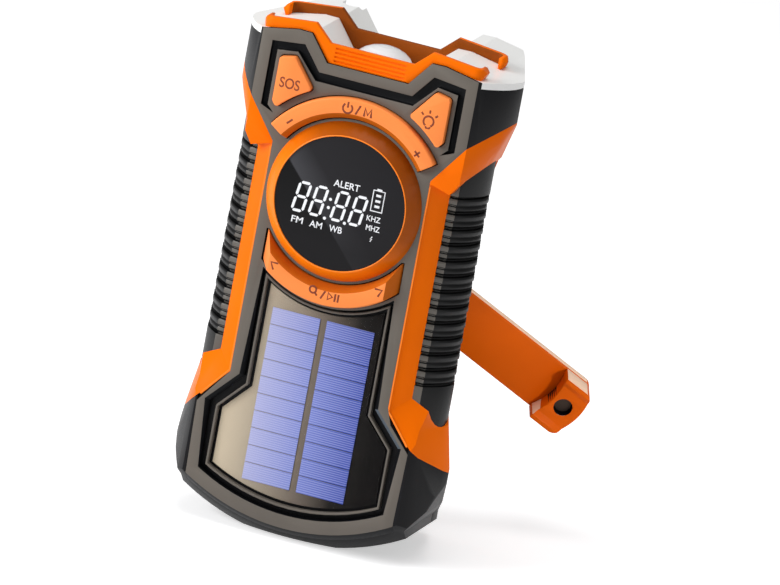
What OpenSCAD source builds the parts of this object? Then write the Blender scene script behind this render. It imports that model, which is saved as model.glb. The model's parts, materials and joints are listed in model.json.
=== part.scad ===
/* [Body] */
// Width of the body at its widest
body_w = 86.4; // [82:0.2:92]
// Height from the centre of the display to the top of the face
head_h = 48.1; // [46:0.1:52]
// Height from the flat foot to the centre of the display
foot_h = 107.3; // [102:0.1:114]
// Depth of the body from its face to its back
body_d = 50; // [48:0.5:56]
// Share of the depth at which the front and rear housings meet
seam_share = 0.64; // [0.62:0.01:0.66]
// Wall thickness of both housings
wall = 2; // [1.6:0.1:2.3]
// Thickness of the face panel
panel_t = 3; // [2.6:0.1:3.2]
// Radius of the rounded bottom
sole_r = 70; // [66:1:80]
// Half length of the flat that the bottom stands on
foot_half = 15; // [12:0.5:18]

/* [Display] */
// Radius of the display glass as a share of the height above its centre
glass_share = 0.4283; // [0.4:0.001:0.435]
// Outer radius of the bezel as a share of the height above its centre
bezel_share = 0.5114; // [0.5:0.001:0.515]
// Height of the bezel above the panel
bezel_rise = 4.4; // [3:0.1:5.5]

/* [Keys] */
// Inner radius of the two curved keys as a share of the height above the display's centre
arc_inner_share = 0.5343; // [0.53:0.001:0.545]
// Outer radius of the two curved keys as a share of the height above the display's centre
arc_outer_share = 0.6653; // [0.645:0.001:0.67]
// Angle above the horizontal where the upper curved key ends
arc_end = 35; // [30:1:45]
// Height of the upper curved key above the panel
upper_rise = 2.6; // [1.5:0.1:3.5]
// Height of the lower curved key above the panel
lower_rise = 3.8; // [2.5:0.1:4.2]
// Height of the two corner keys above the panel
corner_rise = 2; // [1:0.1:3]
// How far each key travels when pressed
key_travel = 0.8; // [0.4:0.1:1]
// Gap round each key
key_gap = 0.35; // [0.3:0.05:0.5]

/* [Solar panel] */
// Width of one solar cell
cell_w = 15.2; // [13:0.1:15.6]
// Gap between the two columns of cells
cell_gap = 2.2; // [1.6:0.1:3]
// Rows of cells
cell_rows = 10; // [8:1:10]
// Depth of the solar glass below the face
solar_sunk = 1.2; // [0.8:0.1:1.4]

/* [Grips] */
// Step from rib to rib
rib_pitch = 4.93; // [4.4:0.01:5.1]
// Ribs on each grip
rib_count = 12; // [8:1:12]
// Height of the cut between two ribs
rib_gap = 0.7; // [0.4:0.1:1.2]
// Depth of the cut between two ribs
rib_depth = 1; // [0.5:0.1:1.4]
// Thickness of the rubber grip over the core
grip_t = 2.6; // [2.2:0.1:3]

/* [Lamp] */
// Radius of the lamp lens
lens_r = 9.3; // [8:0.1:10]
// Depth of the lamp's axis behind the face
lamp_y = 14.6; // [14.2:0.1:15]
// Height of the lens dome above its seat
lens_rise = 6; // [4:0.1:6.5]
// Thickness of the white diffuser
diffuser_t = 2; // [1.4:0.1:2.2]
// Thickness of the rails of the guard frame
rail_t = 2; // [1.8:0.1:2.4]
// Depth from the front rail to the outside of the back rail
guard_d = 26.8; // [26.4:0.1:29]

/* [Crank] */
// Distance from the hub's axis to the tip of the crank
crank_reach = 78.6; // [74:0.1:79]
// Width of the crank arm
arm_w = 17.5; // [16:0.1:19]
// Thickness of the crank arm
arm_t = 3; // [2.4:0.1:3.4]
// Length of the knob along the arm
knob_l = 11.6; // [10:0.1:13]
// Height of the knob from the arm's outer face
knob_h = 10; // [8:0.1:10.2]
// Height of the crank's axis below the centre of the display
crank_drop = 28.5; // [27:0.1:30]
// Height of the fold pin behind the back
pin_rise = 6.5; // [6.3:0.1:8]
// Angle at which the crank stands turned out from the horizontal
crank_turn = 34.5; // [0:0.5:90]
// Angle at which the arm stands lifted from the back
arm_lift = 26.4; // [5:0.1:80]

/* [Gears] */
// Tooth module of the gear train
gear_m = 0.8; // [0.78:0.01:0.82]
// Teeth of the drive gear on the crank shaft
drive_teeth = 60; // [58:1:61]
// Teeth of the small idler gear
idler_small = 15; // [15:1:16]
// Teeth of the large idler gear
idler_large = 45; // [44:1:45]
// Teeth of the pinion on the generator
rotor_teeth = 12; // [12:1:13]
// Width of each gear
gear_t = 3; // [2.4:0.1:3.2]
// Radius of the crank shaft
shaft_r = 3; // [2.6:0.1:3.4]

/* [Aerial] */
// Radius of the outer aerial tube
aerial_r = 2.7; // [2.4:0.1:2.9]
// Length of the outer aerial tube
aerial_l = 70; // [60:1:74]
// Wall thickness of the aerial tubes
aerial_wall = 0.4; // [0.3:0.05:0.45]

/* [Hidden] */
half_w = body_w / 2;
seam_y = seam_share * body_d;
glass_r = glass_share * head_h;
bezel_r = bezel_share * head_h;
arc_r0 = arc_inner_share * head_h;
arc_r1 = arc_outer_share * head_h;
over = 2;
clear = 0.3;
run_fit = 0.05;
cavity_y = panel_t + wall;
fine = 96;
mid = 48;
small = 24;

sole_flat = sole_r - sqrt(pow(sole_r, 2) - pow(foot_half, 2));
sole_z = sole_r - foot_h - sole_flat;
sole_rake = 5.5;
sole_rake_d = 8;
sole_back = 4;

top_shares = [[0, 0.834], [0.301, 0.834], [0.444, 0.998], [0.544, 1], [0.799, 0.956], [1, 0.936]];
flank_shares = [[1, 0.655], [0.912, 0.405], [0.912, -0.568], [0.984, -0.669], [0.986, -0.764],
    [0.9375, -0.834], [0.833, -0.895], [0.833, -1.05], [0, -1.05]];
panel_shares = [[0, 1.1], [0.799, 1.1], [0.799, 0.52], [0.586, 0.264], [0.586, -0.559],
    [0.787, -0.647], [0.773, -0.857], [0.773, -1.05], [0, -1.05]];
trim_shares = [[0.586, 0.264], [0.799, 0.52], [1.03, 0.686], [1.03, -0.746], [0.961, -0.722],
    [0.787, -0.647], [0.586, -0.559]];
strip_shares = [[0.58, 0.245], [0.606, 0.243], [0.738, 0.208], [1.05, 0.208], [1.05, -0.7], [0.58, -0.7]];
grip_shares = [[0.713, 0.183], [0.738, 0.208], [0.799, 0.291], [0.912, 0.405], [1.03, 0.52],
    [1.03, -0.66], [0.713, -0.66]];
grip_side_shares = [[-0.04, 0.52], [-0.04, -0.502], [0.078, -0.502], [0.092, -0.515],
    [0.12, -0.545], [0.155, -0.567], [0.2, -0.585], [0.24, -0.594], [0.28, -0.597], [0.32, -0.594],
    [0.36, -0.583], [0.41, -0.558], [0.46, -0.515], [0.505, -0.45], [0.535, -0.37], [0.54, -0.3],
    [0.54, 0.52]];
strip_edge_share = 0.586;
slope_foot_share = [0.713, 0.092];
flare_low_share = [0.787, -0.647];
flare_top_share = [0.586, -0.559];
flare_foot_share = [0.713, -0.513];

side_x0_share = 0.799;
side_y_share = 0.375;
back_from_share = 0.4;
back_x_share = 0.75;
waist_x_share = 0.912;
waist_x0_share = 0.771;
waist_y0_share = 0.1;
waist_y_share = 0.35;
curve_steps = 7;
side_power = 1.8;
back_power = 1.25;
waist_power = 2;
waist_back_share = 0.662;
front_turn = 18.4;
front_shares = [[0.095, 0.56], [0.018, 0.362], [0.018, -0.597], [0.095, -0.8], [1, -0.8], [1, 0.56]];
rear_shares = [[0.096, 1.2], [0.096, 0.645], [0, 0.25], [0, -0.568], [0.075, -0.72], [0.075, -1.2],
    [1, -1.2], [1, 1.2]];

corner_shares = [[0.632, 0.811], [0.521, 0.832], [0.361, 0.649], [0.595, 0.482], [0.632, 0.528]];
corner_round = 1;
corner_off_arc = 2.8;
groove_shares = [[0.62, 0.44], [0.718, 0.476], [0.718, 0.892], [0.479, 0.917], [0.345, 0.765],
    [0, 0.765], [0, 0.705], [0.361, 0.705], [0.519, 0.859], [0.669, 0.842], [0.669, 0.484]];
groove_d = 2;

solar_shares = [[0, -0.2], [0.486, -0.2], [0.486, -0.564], [0.699, -0.657], [0.69, -0.86], [0.69, -1],
    [0, -1]];
pane_shares = [[0, -0.2], [0.424, -0.2], [0.424, -0.59], [0.609, -0.672], [0.609, -1], [0, -1]];
solar_in = 9.7;
pane_in = 13.2;
solar_top_gap = 1.4;
pane_top_gap = 3.9;
pane_t = 0.9;
cell_t = 0.25;
cell_top_gap = 1.9;
cell_space = 0.24;
cells_foot_gap = 15.1;
cell_pitch = (foot_h - arc_r1 - pane_top_gap - cell_top_gap - cells_foot_gap) / cell_rows;
bead_gap = 1;
bead_w = 0.7;
bead_up = 0.5;

lower_half_share = 0.505;
lower_tip_share = 0.133;
lower_bevel = 3.2;
arc_bevel = 1.7;
arc_drop = 1.7;
arc_edge = 0.4;
key_spare = 0.2;
key_seat = panel_t - key_travel - key_spare;
plunger_r = 1.5;
plunger_out = 0.9;
plunger_tip = cavity_y + plunger_out;
upper_key_angle = 45;
lower_key_angle = 36;
plunger_arc_r = (arc_r0 + arc_r1) / 2;
corner_plunger_out = 6;
corner_key_angle = 49.8;

guard_shares = [[0, 0.957], [0.306, 0.957], [0.433, 1.064], [0.799, 1.029], [0.822, 1]];
guard_round = 3.6;
guard_x_share = 0.822;
guard_y = 0.8;
slot_n = 4;
slot_w = 22.6;
slot_h = 0.5;
slot_pitch = 1.3;
slot_d = 0.5;
rim_y = 1;
rim_back_share = 1.02;

function at(s) = [s.x * half_w, s.y * (s.y > 0 ? head_h : foot_h)];
function trace(shares) = [for (s = shares) at(s)];
function mirrored(p) = concat(p, [for (i = [len(p) - 1:-1:0]) if (p[i].x > 0) [-p[i].x, p[i].y]]);
function swung(x0, x1, y0, y1, power) = [for (i = [0:curve_steps])
    let (s = i / curve_steps) [x0 + (x1 - x0) * (1 - pow(1 - s, power)), y0 + (y1 - y0) * s]];
function bent(x0, x1, y0, y1, power) = [for (i = [0:curve_steps])
    let (s = i / curve_steps) [x0 + (x1 - x0) * pow(s, power), y0 + (y1 - y0) * s]];

module at_foot() translate([0, -body_d / 2, foot_h]) children();
module plate(y0, y1) translate([0, y1, 0]) rotate([90, 0, 0]) linear_extrude(y1 - y0) children();
module column(z0, z1) translate([0, 0, z0]) linear_extrude(z1 - z0) children();
module beam(x0, x1) translate([x0, 0, 0]) rotate([90, 0, 90]) linear_extrude(x1 - x0) children();
module rod(r, y0, y1) translate([0, y1, 0]) rotate([90, 0, 0]) cylinder(r = r, h = y1 - y0, $fn = mid);
module revolved() rotate([-90, 0, 0]) rotate_extrude($fn = fine) children();
module both_sides() {
    children();
    mirror([1, 0, 0]) children();
}
module inset(t) {
    if (t == 0) children();
    else offset(delta = -t) children();
}
module block(x0, x1, y0, y1, z0, z1) translate([x0, y0, z0]) cube([x1 - x0, y1 - y0, z1 - z0]);
module ahead_of(p, q, r, s) {
    n = cross(q - p, r - p);
    translate(p) rotate([0, acos(n.z / norm(n)), atan2(n.y, n.x)])
        translate([-s, -s, 0]) cube([2 * s, 2 * s, s]);
}

module silhouette() polygon(mirrored(concat(trace(top_shares), trace(flank_shares))));
module section() polygon(mirrored(concat(
    [[0, 0]],
    swung(side_x0_share * half_w, half_w, 0, side_y_share * body_d, side_power),
    bent(half_w, back_x_share * half_w, back_from_share * body_d, body_d, back_power),
    [[0, body_d]])));
module sole(t) {
    block(-body_w, body_w, -over, body_d + over, sole_z, 2 * head_h);
    translate([0, 0, sole_z]) revolved() polygon([[0, 0], [sole_r - sole_rake - t, 0],
        [sole_r - t, sole_rake_d], [sole_r - t, body_d - sole_back], [sole_r - sole_back - t, body_d],
        [0, body_d]]);
}
module body_form(t = 0) difference() {
    intersection() {
        plate(t, body_d - t) inset(t) silhouette();
        column(t - foot_h, 2 * head_h) inset(t) section();
        sole(t);
    }
    both_sides() translate([waist_x_share * half_w, waist_y_share * body_d, 0]) {
        rotate([0, 0, -front_turn]) plate(-body_w, body_w) inset(-t) polygon(trace(front_shares));
        rotate([0, 0, atan((waist_x_share - waist_back_share) * half_w / (1 - waist_y_share) / body_d)])
            plate(-body_w, body_w) inset(-t) polygon(trace(rear_shares));
    }
}

function waist(t) = concat(
    [[0, t > 0 ? panel_t : 0], [strip_edge_share * half_w, t > 0 ? panel_t : 0]],
    [[slope_foot_share.x * half_w - t / 3, slope_foot_share.y * body_d + t]],
    swung(waist_x0_share * half_w - t / 2, waist_x_share * half_w - t,
        waist_y0_share * body_d + t, waist_y_share * body_d, waist_power),
    [[waist_back_share * half_w - t, body_d], [0, body_d]]);
module trim_zone(t = 0) both_sides() difference() {
    plate(-over, seam_y + t) inset(-t) polygon(trace(trim_shares));
    column(-2 * foot_h, 2 * head_h) inset(t) polygon(waist(grip_t));
}
module housing_form(t = 0) difference() {
    body_form(t);
    trim_zone(t);
}
module grip_zone() intersection() {
    plate(-over, seam_y) polygon(trace(grip_shares));
    beam(0, body_w) polygon([for (s = grip_side_shares) [s.x * body_d, s.y * (s.y > 0 ? head_h : foot_h)]]);
}
module strip_cut() intersection() {
    plate(-over, seam_y) polygon(trace(strip_shares));
    ahead_of([strip_edge_share * half_w, 0, 0],
        [slope_foot_share.x * half_w, slope_foot_share.y * body_d, 0],
        [strip_edge_share * half_w, 0, foot_h], body_w);
    ahead_of([at(flare_top_share).x, 0, at(flare_top_share).y],
        [at(flare_low_share).x, 0, at(flare_low_share).y],
        [at(flare_foot_share).x, slope_foot_share.y * body_d, at(flare_foot_share).y], body_w);
}
module top_zone() {
    top = mirrored(trace(top_shares));
    edge = [for (p = top) if (p.x >= 0) p];
    line = concat([for (i = [len(edge) - 1:-1:1]) [-edge[i].x, edge[i].y]], edge);
    plate(rim_y, rim_back_share * body_d)
        polygon(concat(line, [for (i = [len(line) - 1:-1:0]) line[i] - [0, diffuser_t]]));
}
module corner_outline(grow = 0) offset(delta = grow) offset(r = corner_round, $fn = small)
    offset(delta = -corner_round) difference() {
        polygon(trace(corner_shares));
        circle(r = arc_r1 + corner_off_arc, $fn = fine);
    }
module solar_outline(shares, reach, top) difference() {
    intersection() {
        polygon(mirrored(trace(shares)));
        translate([0, sole_z]) circle(r = sole_r - reach, $fn = fine);
    }
    circle(r = arc_r1 + top, $fn = fine);
}
module pane_outline(grow = 0) inset(-grow) solar_outline(pane_shares, pane_in, pane_top_gap);
module upper_wedge(grow = 0) polygon([[0, 0], 2 * arc_r1 * [cos(arc_end - grow), sin(arc_end - grow)],
    [0, 4 * arc_r1], 2 * arc_r1 * [-cos(arc_end - grow), sin(arc_end - grow)]]);
module ring(r0, r1) difference() {
    circle(r = r1, $fn = fine);
    circle(r = r0, $fn = fine);
}
gap_turn = key_gap / arc_r1 * 180 / PI;
module upper_hole() intersection() {
    ring(arc_r0 - key_gap, arc_r1 + key_gap);
    upper_wedge(gap_turn);
}
module lower_hole(grow = 0) intersection() {
    ring(arc_r0 - grow, arc_r1 + grow);
    translate([-lower_half_share * half_w - grow, -2 * arc_r1])
        square([body_w * lower_half_share + 2 * grow, 2 * arc_r1 - lower_tip_share * foot_h + grow]);
}

board_t = 1.6;
switch_h = 1.2;
switch_w = 6;
board_y = plunger_tip + key_travel + clear + switch_h;
board_back = board_y + board_t;
board_x_share = 0.6;
board_top_share = 0.696;
board_low_share = -0.293;
post_r = 2;
board_post_shares = [[0.28, 0.457], [-0.28, 0.457], [0.556, -0.093], [-0.556, -0.093]];

seat_w = 1.2;
seat_r = glass_r - seat_w;
rim_w = 0.3;
glass_t = 1.3;
glass_down = 0.5;
spigot_in = 2.3;
spigot_r = bezel_r - spigot_in;
display_hole_r = 12;

boss_r = 3;
screw_r = 1.25;
screw_head_r = 2.4;
screw_head_t = 1.6;
screw_down = 3;
screw_bite = 8;
screw_shares = [[0.66, 0.78], [0.556, -0.42], [0.602, -0.853]];

cell_r_share = 0.184;
cell_l_share = 0.6058;
cells_y_share = 0.41;
cell_r = cell_r_share * body_d;
cell_l = cell_l_share * foot_h;
cells_y = cells_y_share * body_d;
cells_low_share = -0.923;
cells_apart = 1.4;
cells_x = cell_r + cells_apart;
main_x_share = 0.47;
main_top_share = -0.317;
main_low_share = -0.848;
main_gap = 2;
main_y = cavity_y + main_gap;
main_back = main_y + board_t;
cradle_y_share = 0.3;
cradle_y = cradle_y_share * body_d;
main_post_shares = [[0.42, -0.345], [-0.42, -0.345], [0.42, -0.82], [-0.42, -0.82]];
chip_h = 1.2;
chip_shares = [[-0.23, -0.45, 0.19, 0.09], [0.21, -0.62, 0.14, 0.065], [-0.16, -0.74, 0.1, 0.045]];

crank_z = -crank_drop;
pin_y = body_d + pin_rise;
hub_r = 13;
hub_t = 2.6;
hub_lift = 0.4;
ear_t = 3.6;
ear_r = 3.4;
ear_gap = 0.3;
fold_pin_r = 1.5;
pin_short = 0.4;
journal_r = 2;
bush_r = 5;
bush_flange = 1.2;
bush_flange_r = 7;
knob_hole_r = 2.9;
knob_pin_r = 1.6;
knob_head_r = 2.6;
knob_gap = 0.3;
knob_seat_d = 5;
crank_end_r = 19;
crank_corner_r = 3;
knob_rim = 1.4;
knob_slope = 1.6;
knob_channel = 1.1;
knob_scoop = 1.6;
knob_scoop_r = 18;
arm_start = 4.6;

plate_t = 1.5;
gear_room = 19.2;
plate_y = body_d - gear_room;
gear_gap = 1;
low_gear_y = plate_y + plate_t + gear_gap;
gear_step = 2;
high_gear_y = low_gear_y + gear_t + gear_step;
idler_angle = 111.5;
rotor_angle = 30;
idler_x = gear_m * (drive_teeth + idler_small) / 2 * cos(idler_angle);
idler_z = crank_z + gear_m * (drive_teeth + idler_small) / 2 * sin(idler_angle);
rotor_x = idler_x + gear_m * (idler_large + rotor_teeth) / 2 * cos(rotor_angle);
rotor_z = idler_z + gear_m * (idler_large + rotor_teeth) / 2 * sin(rotor_angle);
idler_pin_r = 1.2;
rotor_shaft_r = 1;
can_r = 12;
can_t = 0.8;
can_d = 15;
stator_r0 = 8.4;
rotor_r = 8;
rotor_d = 10;
plate_shares = [[0.44, -0.49], [0.44, -0.3], [0.58, 0.02], [0.58, 0.2], [0.42, 0.52], [-0.42, 0.55],
    [-0.44, -0.49]];
plate_post_shares = [[0.4, -0.465], [-0.4, -0.465], [-0.31, 0.52], [0.5, 0.16]];

speaker_x_share = 0.18;
speaker_z_share = 0.395;
speaker_r = 15.4;
speaker_d = 7.4;
speaker_rim = 1.6;
speaker_magnet_r = 8;
grille_r = 1;
grille_pitch = 3.6;
grille_reach = 12.5;

rod_r = 4;
rod_l = 52;
rod_x_share = -0.602;
coil_r = 4.7;
coil_l = 26;

aerial_x_share = -0.5;
aerial_pivot_share = -0.31;
channel_fit = 0.6;
channel_r = aerial_r + channel_fit;
aerial_y = body_d - aerial_r - clear;
aerial_pin_r = 1.2;
aerial_step = 1.5;
tip_l = 4;
tip_in = 0.2;
tip_r = aerial_r - tip_in;
channel_spare = 2;

ports_x_share = -0.44;
usb_a_share = -0.72;
usb_c_share = -0.58;
usb_a_w = 13.1;
usb_a_h = 5.7;
usb_c_w = 9;
usb_c_h = 3.3;
usb_wall = 0.4;
usb_d = 11;
tongue_t = 1.9;
tongue_c = 0.7;
tongue_share = 0.33;
port_board_y = body_d - wall - usb_d;
flap_t = 1.6;
flap_w = 14;
flap_tall = 32;
flap_gap = 0.3;
flap_z_share = -0.655;
port_post_shares = [[-0.324, -0.515], [-0.324, -0.795]];
port_half_share = 0.155;

led_r = 1.6;
lamp_board_r = 5;
cup_t = 0.8;
cup_r = 4;
cup_share = 0.1663;
cup_d = cup_share * head_h;
cup_z = top_shares[0].y * head_h - diffuser_t - cup_d;

function inv(a) = tan(a) * 180 / PI - a;
pressure = 20;
gear_root_share = 1.25;
gear_tip_share = 0.9;
gear_thin = 0.1;
function flank(r, rp, teeth) = 90 / teeth - gear_thin / rp * 90 / PI + inv(pressure)
    - inv(acos(min(1, rp * cos(pressure) / r)));
module gear(teeth, turn = 0) {
    rp = gear_m * teeth / 2;
    r0 = rp - gear_root_share * gear_m;
    r3 = rp + gear_tip_share * gear_m;
    rb = max(r0, rp * cos(pressure));
    radii = [r0, rb, (rb + rp) / 2, rp, (rp + r3) / 2, r3];
    polygon([for (i = [0:teeth - 1]) let (a = turn + 360 * i / teeth)
        each concat([for (r = radii) r * [cos(a - flank(r, rp, teeth)), sin(a - flank(r, rp, teeth))]],
            [for (k = [len(radii) - 1:-1:0]) let (r = radii[k])
                r * [cos(a + flank(r, rp, teeth)), sin(a + flank(r, rp, teeth))]])]);
}
module spot(x, z) translate([x, 0, z]) children();
module spots(shares) for (s = shares) spot(at(s).x, at(s).y) children();
module corner_plungers() both_sides() rotate([0, -corner_key_angle, 0])
    translate([arc_r1 + corner_plunger_out, 0, 0]) children();
module screws_at() both_sides() spots(screw_shares) children();
module arm_frame() translate([0, pin_y, crank_z]) rotate([0, crank_turn, 0])
    rotate([0, 0, arm_lift]) children();
module hub_frame() translate([0, 0, crank_z]) rotate([0, crank_turn, 0]) children();
module key_plungers(turns) for (a = turns)
    spot(plunger_arc_r * cos(a), plunger_arc_r * sin(a)) rod(plunger_r, key_seat, plunger_tip);
upper_turns = [upper_key_angle, 90, 180 - upper_key_angle];
lower_turns = [-90 - lower_key_angle, -90, -90 + lower_key_angle];

module face_panel() at_foot() color([0.4, 0.37, 0.34]) difference() {
    intersection() {
        body_form();
        plate(0, panel_t) polygon(mirrored(trace(panel_shares)));
    }
    top_zone();
    both_sides() plate(-over, groove_d) polygon(trace(groove_shares));
    rod(spigot_r, -over, panel_t + over);
    plate(-over, panel_t + over) upper_hole();
    plate(-over, panel_t + over) lower_hole(key_gap);
    both_sides() plate(-over, panel_t + over) corner_outline(key_gap);
    plate(-over, panel_t + over) solar_outline(solar_shares, solar_in, solar_top_gap);
}

module front_housing() at_foot() color([0.1, 0.1, 0.11]) {
    difference() {
        intersection() {
            housing_form();
            block(-body_w, body_w, 0, seam_y, -foot_h - over, 2 * head_h);
        }
        plate(-over, panel_t) polygon(mirrored(trace(panel_shares)));
        top_zone();
        cavity(seam_y + over);
        rod(display_hole_r, 0, cavity_y + over);
        for (a = concat(upper_turns, lower_turns))
            spot(plunger_arc_r * cos(a), plunger_arc_r * sin(a)) rod(plunger_r + clear, 0, cavity_y + over);
        corner_plungers() rod(plunger_r + clear, 0, cavity_y + over);
        lamp_hole(lens_r + clear);
    }
    intersection() {
        housing_form();
        union() {
            screws_at() difference() {
                rod(boss_r, panel_t + wall / 2, seam_y);
                rod(screw_r, seam_y - screw_bite, seam_y + over);
            }
            spots(board_post_shares) rod(post_r, panel_t + wall / 2, board_y);
            spots(main_post_shares) rod(post_r, panel_t + wall / 2, main_y);
        }
    }
}
module cavity(to_y) intersection() {
    housing_form(wall);
    plate(0, body_d) translate([0, -diffuser_t]) inset(wall) silhouette();
    block(-body_w, body_w, cavity_y, to_y, -foot_h, 2 * head_h);
}
module lamp_hole(r) translate([0, lamp_y, at(top_shares[0]).y - 2 * wall - diffuser_t])
    cylinder(r = r, h = 2 * wall + diffuser_t + over, $fn = fine);

module rear_housing() at_foot() color([0.1, 0.1, 0.11]) {
    difference() {
        intersection() {
            body_form();
            block(-body_w, body_w, seam_y, body_d, -foot_h - over, 2 * head_h);
        }
        top_zone();
        difference() {
            intersection() {
                body_form(wall);
                plate(0, body_d - wall) translate([0, -diffuser_t]) inset(wall) silhouette();
                block(-body_w, body_w, seam_y - over, body_d - wall, -foot_h, 2 * head_h);
            }
            aerial_block();
            flap_block();
            screws_at() rod(boss_r + wall / 2, seam_y, body_d);
        }
        aerial_channel();
        flap_recess();
        hub_frame() rod(bush_r, 0, body_d + over);
        speaker_holes();
        spots([[ports_x_share, usb_a_share]]) block(-usb_a_h / 2 - clear, usb_a_h / 2 + clear, port_board_y,
            body_d, -usb_a_w / 2 - clear, usb_a_w / 2 + clear);
        spots([[ports_x_share, usb_c_share]]) block(-usb_c_h / 2 - clear, usb_c_h / 2 + clear, port_board_y,
            body_d, -usb_c_w / 2 - clear, usb_c_w / 2 + clear);
        screws_at() rod(screw_r + clear / 2, 0, body_d + over);
        screws_at() rod(screw_head_r + clear / 2, body_d - screw_down, body_d + over);
        aerial_pin_at() cylinder(r = aerial_pin_r, h = 2 * channel_r + wall, center = true, $fn = small);
    }
    spots(port_post_shares) rod(post_r, port_board_y + board_t, body_d - flap_t - flap_gap - wall / 2);
}
module aerial_block() translate([aerial_x_share * half_w - channel_r - wall, aerial_y - channel_r - wall,
    aerial_z0() - wall]) cube([2 * (channel_r + wall), body_d, 2 * head_h + foot_h]);
module aerial_channel() {
    translate([aerial_x_share * half_w, aerial_y, aerial_z0()])
        cylinder(r = channel_r, h = 2 * head_h + foot_h, $fn = mid);
    translate([aerial_x_share * half_w - channel_r, aerial_y, aerial_z0()])
        cube([2 * channel_r, body_d, 2 * head_h + foot_h]);
}
aerial_z = at([0, aerial_pivot_share]).y;
function aerial_z0() = aerial_z - channel_r - channel_spare;
module aerial_at() translate([aerial_x_share * half_w, aerial_y, aerial_z]) children();
module aerial_pin_at() aerial_at() rotate([0, 90, 0]) children();
module flap_block() spots([[ports_x_share, flap_z_share]])
    block(-flap_w / 2 - wall, flap_w / 2 + wall, body_d - wall - flap_t - flap_gap, body_d,
        -flap_tall / 2 - wall, flap_tall / 2 + wall);
module flap_recess() spots([[ports_x_share, flap_z_share]])
    block(-flap_w / 2 - flap_gap, flap_w / 2 + flap_gap, body_d - flap_t - flap_gap, body_d + over,
        -flap_tall / 2 - flap_gap, flap_tall / 2 + flap_gap);
module speaker_holes() {
    n = floor(grille_reach / grille_pitch);
    spots([[speaker_x_share, speaker_z_share]])
        for (i = [-n:n], k = [-n:n])
            if (norm([i, k]) * grille_pitch <= grille_reach)
                spot(i * grille_pitch, k * grille_pitch)
                    rod(grille_r, body_d - wall - over / 2, body_d + over);
}

module side_band() intersection() {
    difference() {
        body_form();
        strip_cut();
        grip_zone();
        column(-2 * foot_h, 2 * head_h) polygon(waist(grip_t));
    }
    plate(-over, seam_y) polygon(trace(trim_shares));
}
module side_band_right() at_foot() color([1, 0.42, 0.05]) side_band();
module side_band_left() at_foot() color([1, 0.42, 0.05]) mirror([1, 0, 0]) side_band();

module grip() difference() {
    intersection() {
        column(-foot_h, head_h) polygon(waist(0));
        grip_zone();
    }
    column(-2 * foot_h, 2 * head_h) polygon(waist(grip_t));
    for (i = [0:rib_count]) translate([0, 0, at([0, grip_shares[0].y]).y - i * rib_pitch - rib_gap])
        linear_extrude(rib_gap) difference() {
            translate([0, -over]) square([body_w, body_d]);
            polygon(waist(rib_depth));
        }
}
module grip_right() at_foot() color([0.07, 0.07, 0.08]) grip();
module grip_left() at_foot() color([0.07, 0.07, 0.08]) mirror([1, 0, 0]) grip();

module display_bezel() at_foot() color([1, 0.45, 0.05]) revolved() polygon([[bezel_r, 0],
    [glass_r + rim_w, -bezel_rise], [glass_r, -bezel_rise], [glass_r, glass_t + glass_down - bezel_rise],
    [seat_r, glass_t + glass_down - bezel_rise], [seat_r, panel_t], [spigot_r, panel_t], [spigot_r, 0]]);
module display_glass() at_foot() color([0.02, 0.02, 0.03])
    rod(glass_r - clear / 10, glass_down - bezel_rise, glass_t + glass_down - bezel_rise);
module display_module() at_foot() color([0.1, 0.3, 0.2]) {
    rod(seat_r - clear, glass_t + glass_down - bezel_rise, panel_t);
    rod(display_hole_r - clear, 0, board_y);
}

module corner_key(side) at_foot() color([1, 0.5, 0.1]) mirror([side < 0 ? 1 : 0, 0, 0]) {
    plate(-corner_rise, key_seat) corner_outline();
    rotate([0, -corner_key_angle, 0]) translate([arc_r1 + corner_plunger_out, 0, 0])
        rod(plunger_r, 0, plunger_tip);
}
module sos_key() corner_key(-1);
module lamp_key() corner_key(1);
module upper_key() at_foot() color([1, 0.5, 0.1]) {
    intersection() {
        revolved() polygon([[arc_r0, key_seat], [arc_r0, arc_drop - upper_rise],
            [arc_r0 + arc_bevel, -upper_rise],
            [arc_r1 - arc_edge, -upper_rise], [arc_r1, arc_edge - upper_rise], [arc_r1, key_seat]]);
        plate(-bezel_rise, panel_t) upper_wedge();
    }
    key_plungers(upper_turns);
}
module lower_key() at_foot() color([1, 0.5, 0.1]) {
    difference() {
        intersection() {
            revolved() polygon([[arc_r0, key_seat], [arc_r0, 2 * arc_drop - lower_rise],
                [arc_r0 + arc_bevel, -lower_rise], [arc_r1 - arc_edge, -lower_rise],
                [arc_r1, arc_edge - lower_rise], [arc_r1, key_seat]]);
            plate(-bezel_rise, panel_t) lower_hole();
        }
        both_sides() column(-2 * foot_h, 0) polygon([
            [lower_half_share * half_w - lower_bevel, -lower_rise],
            [lower_half_share * half_w + arc_edge, arc_bevel - arc_edge],
            [lower_half_share * half_w + arc_edge, -bezel_rise - over],
            [lower_half_share * half_w - lower_bevel, -bezel_rise - over]]);
    }
    key_plungers(lower_turns);
}

module solar_board() at_foot() color([0.25, 0.22, 0.2])
    plate(solar_sunk + pane_t + cell_t, panel_t) pane_outline();
module solar_cells() at_foot() color([0.3, 0.35, 0.7]) both_sides() for (i = [0:cell_rows - 1])
    block(cell_gap / 2, cell_gap / 2 + cell_w, solar_sunk + pane_t, solar_sunk + pane_t + cell_t,
        -arc_r1 - pane_top_gap - cell_top_gap - (i + 1) * cell_pitch + cell_space,
        -arc_r1 - pane_top_gap - cell_top_gap - i * cell_pitch);
module solar_glass() at_foot() color([0.3, 0.28, 0.25], 0.5)
    plate(solar_sunk, solar_sunk + pane_t) pane_outline();
module solar_frame() at_foot() color([0.35, 0.33, 0.3]) plate(solar_sunk - bead_up, panel_t) difference() {
    pane_outline(bead_gap + bead_w);
    pane_outline(bead_gap);
}

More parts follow.
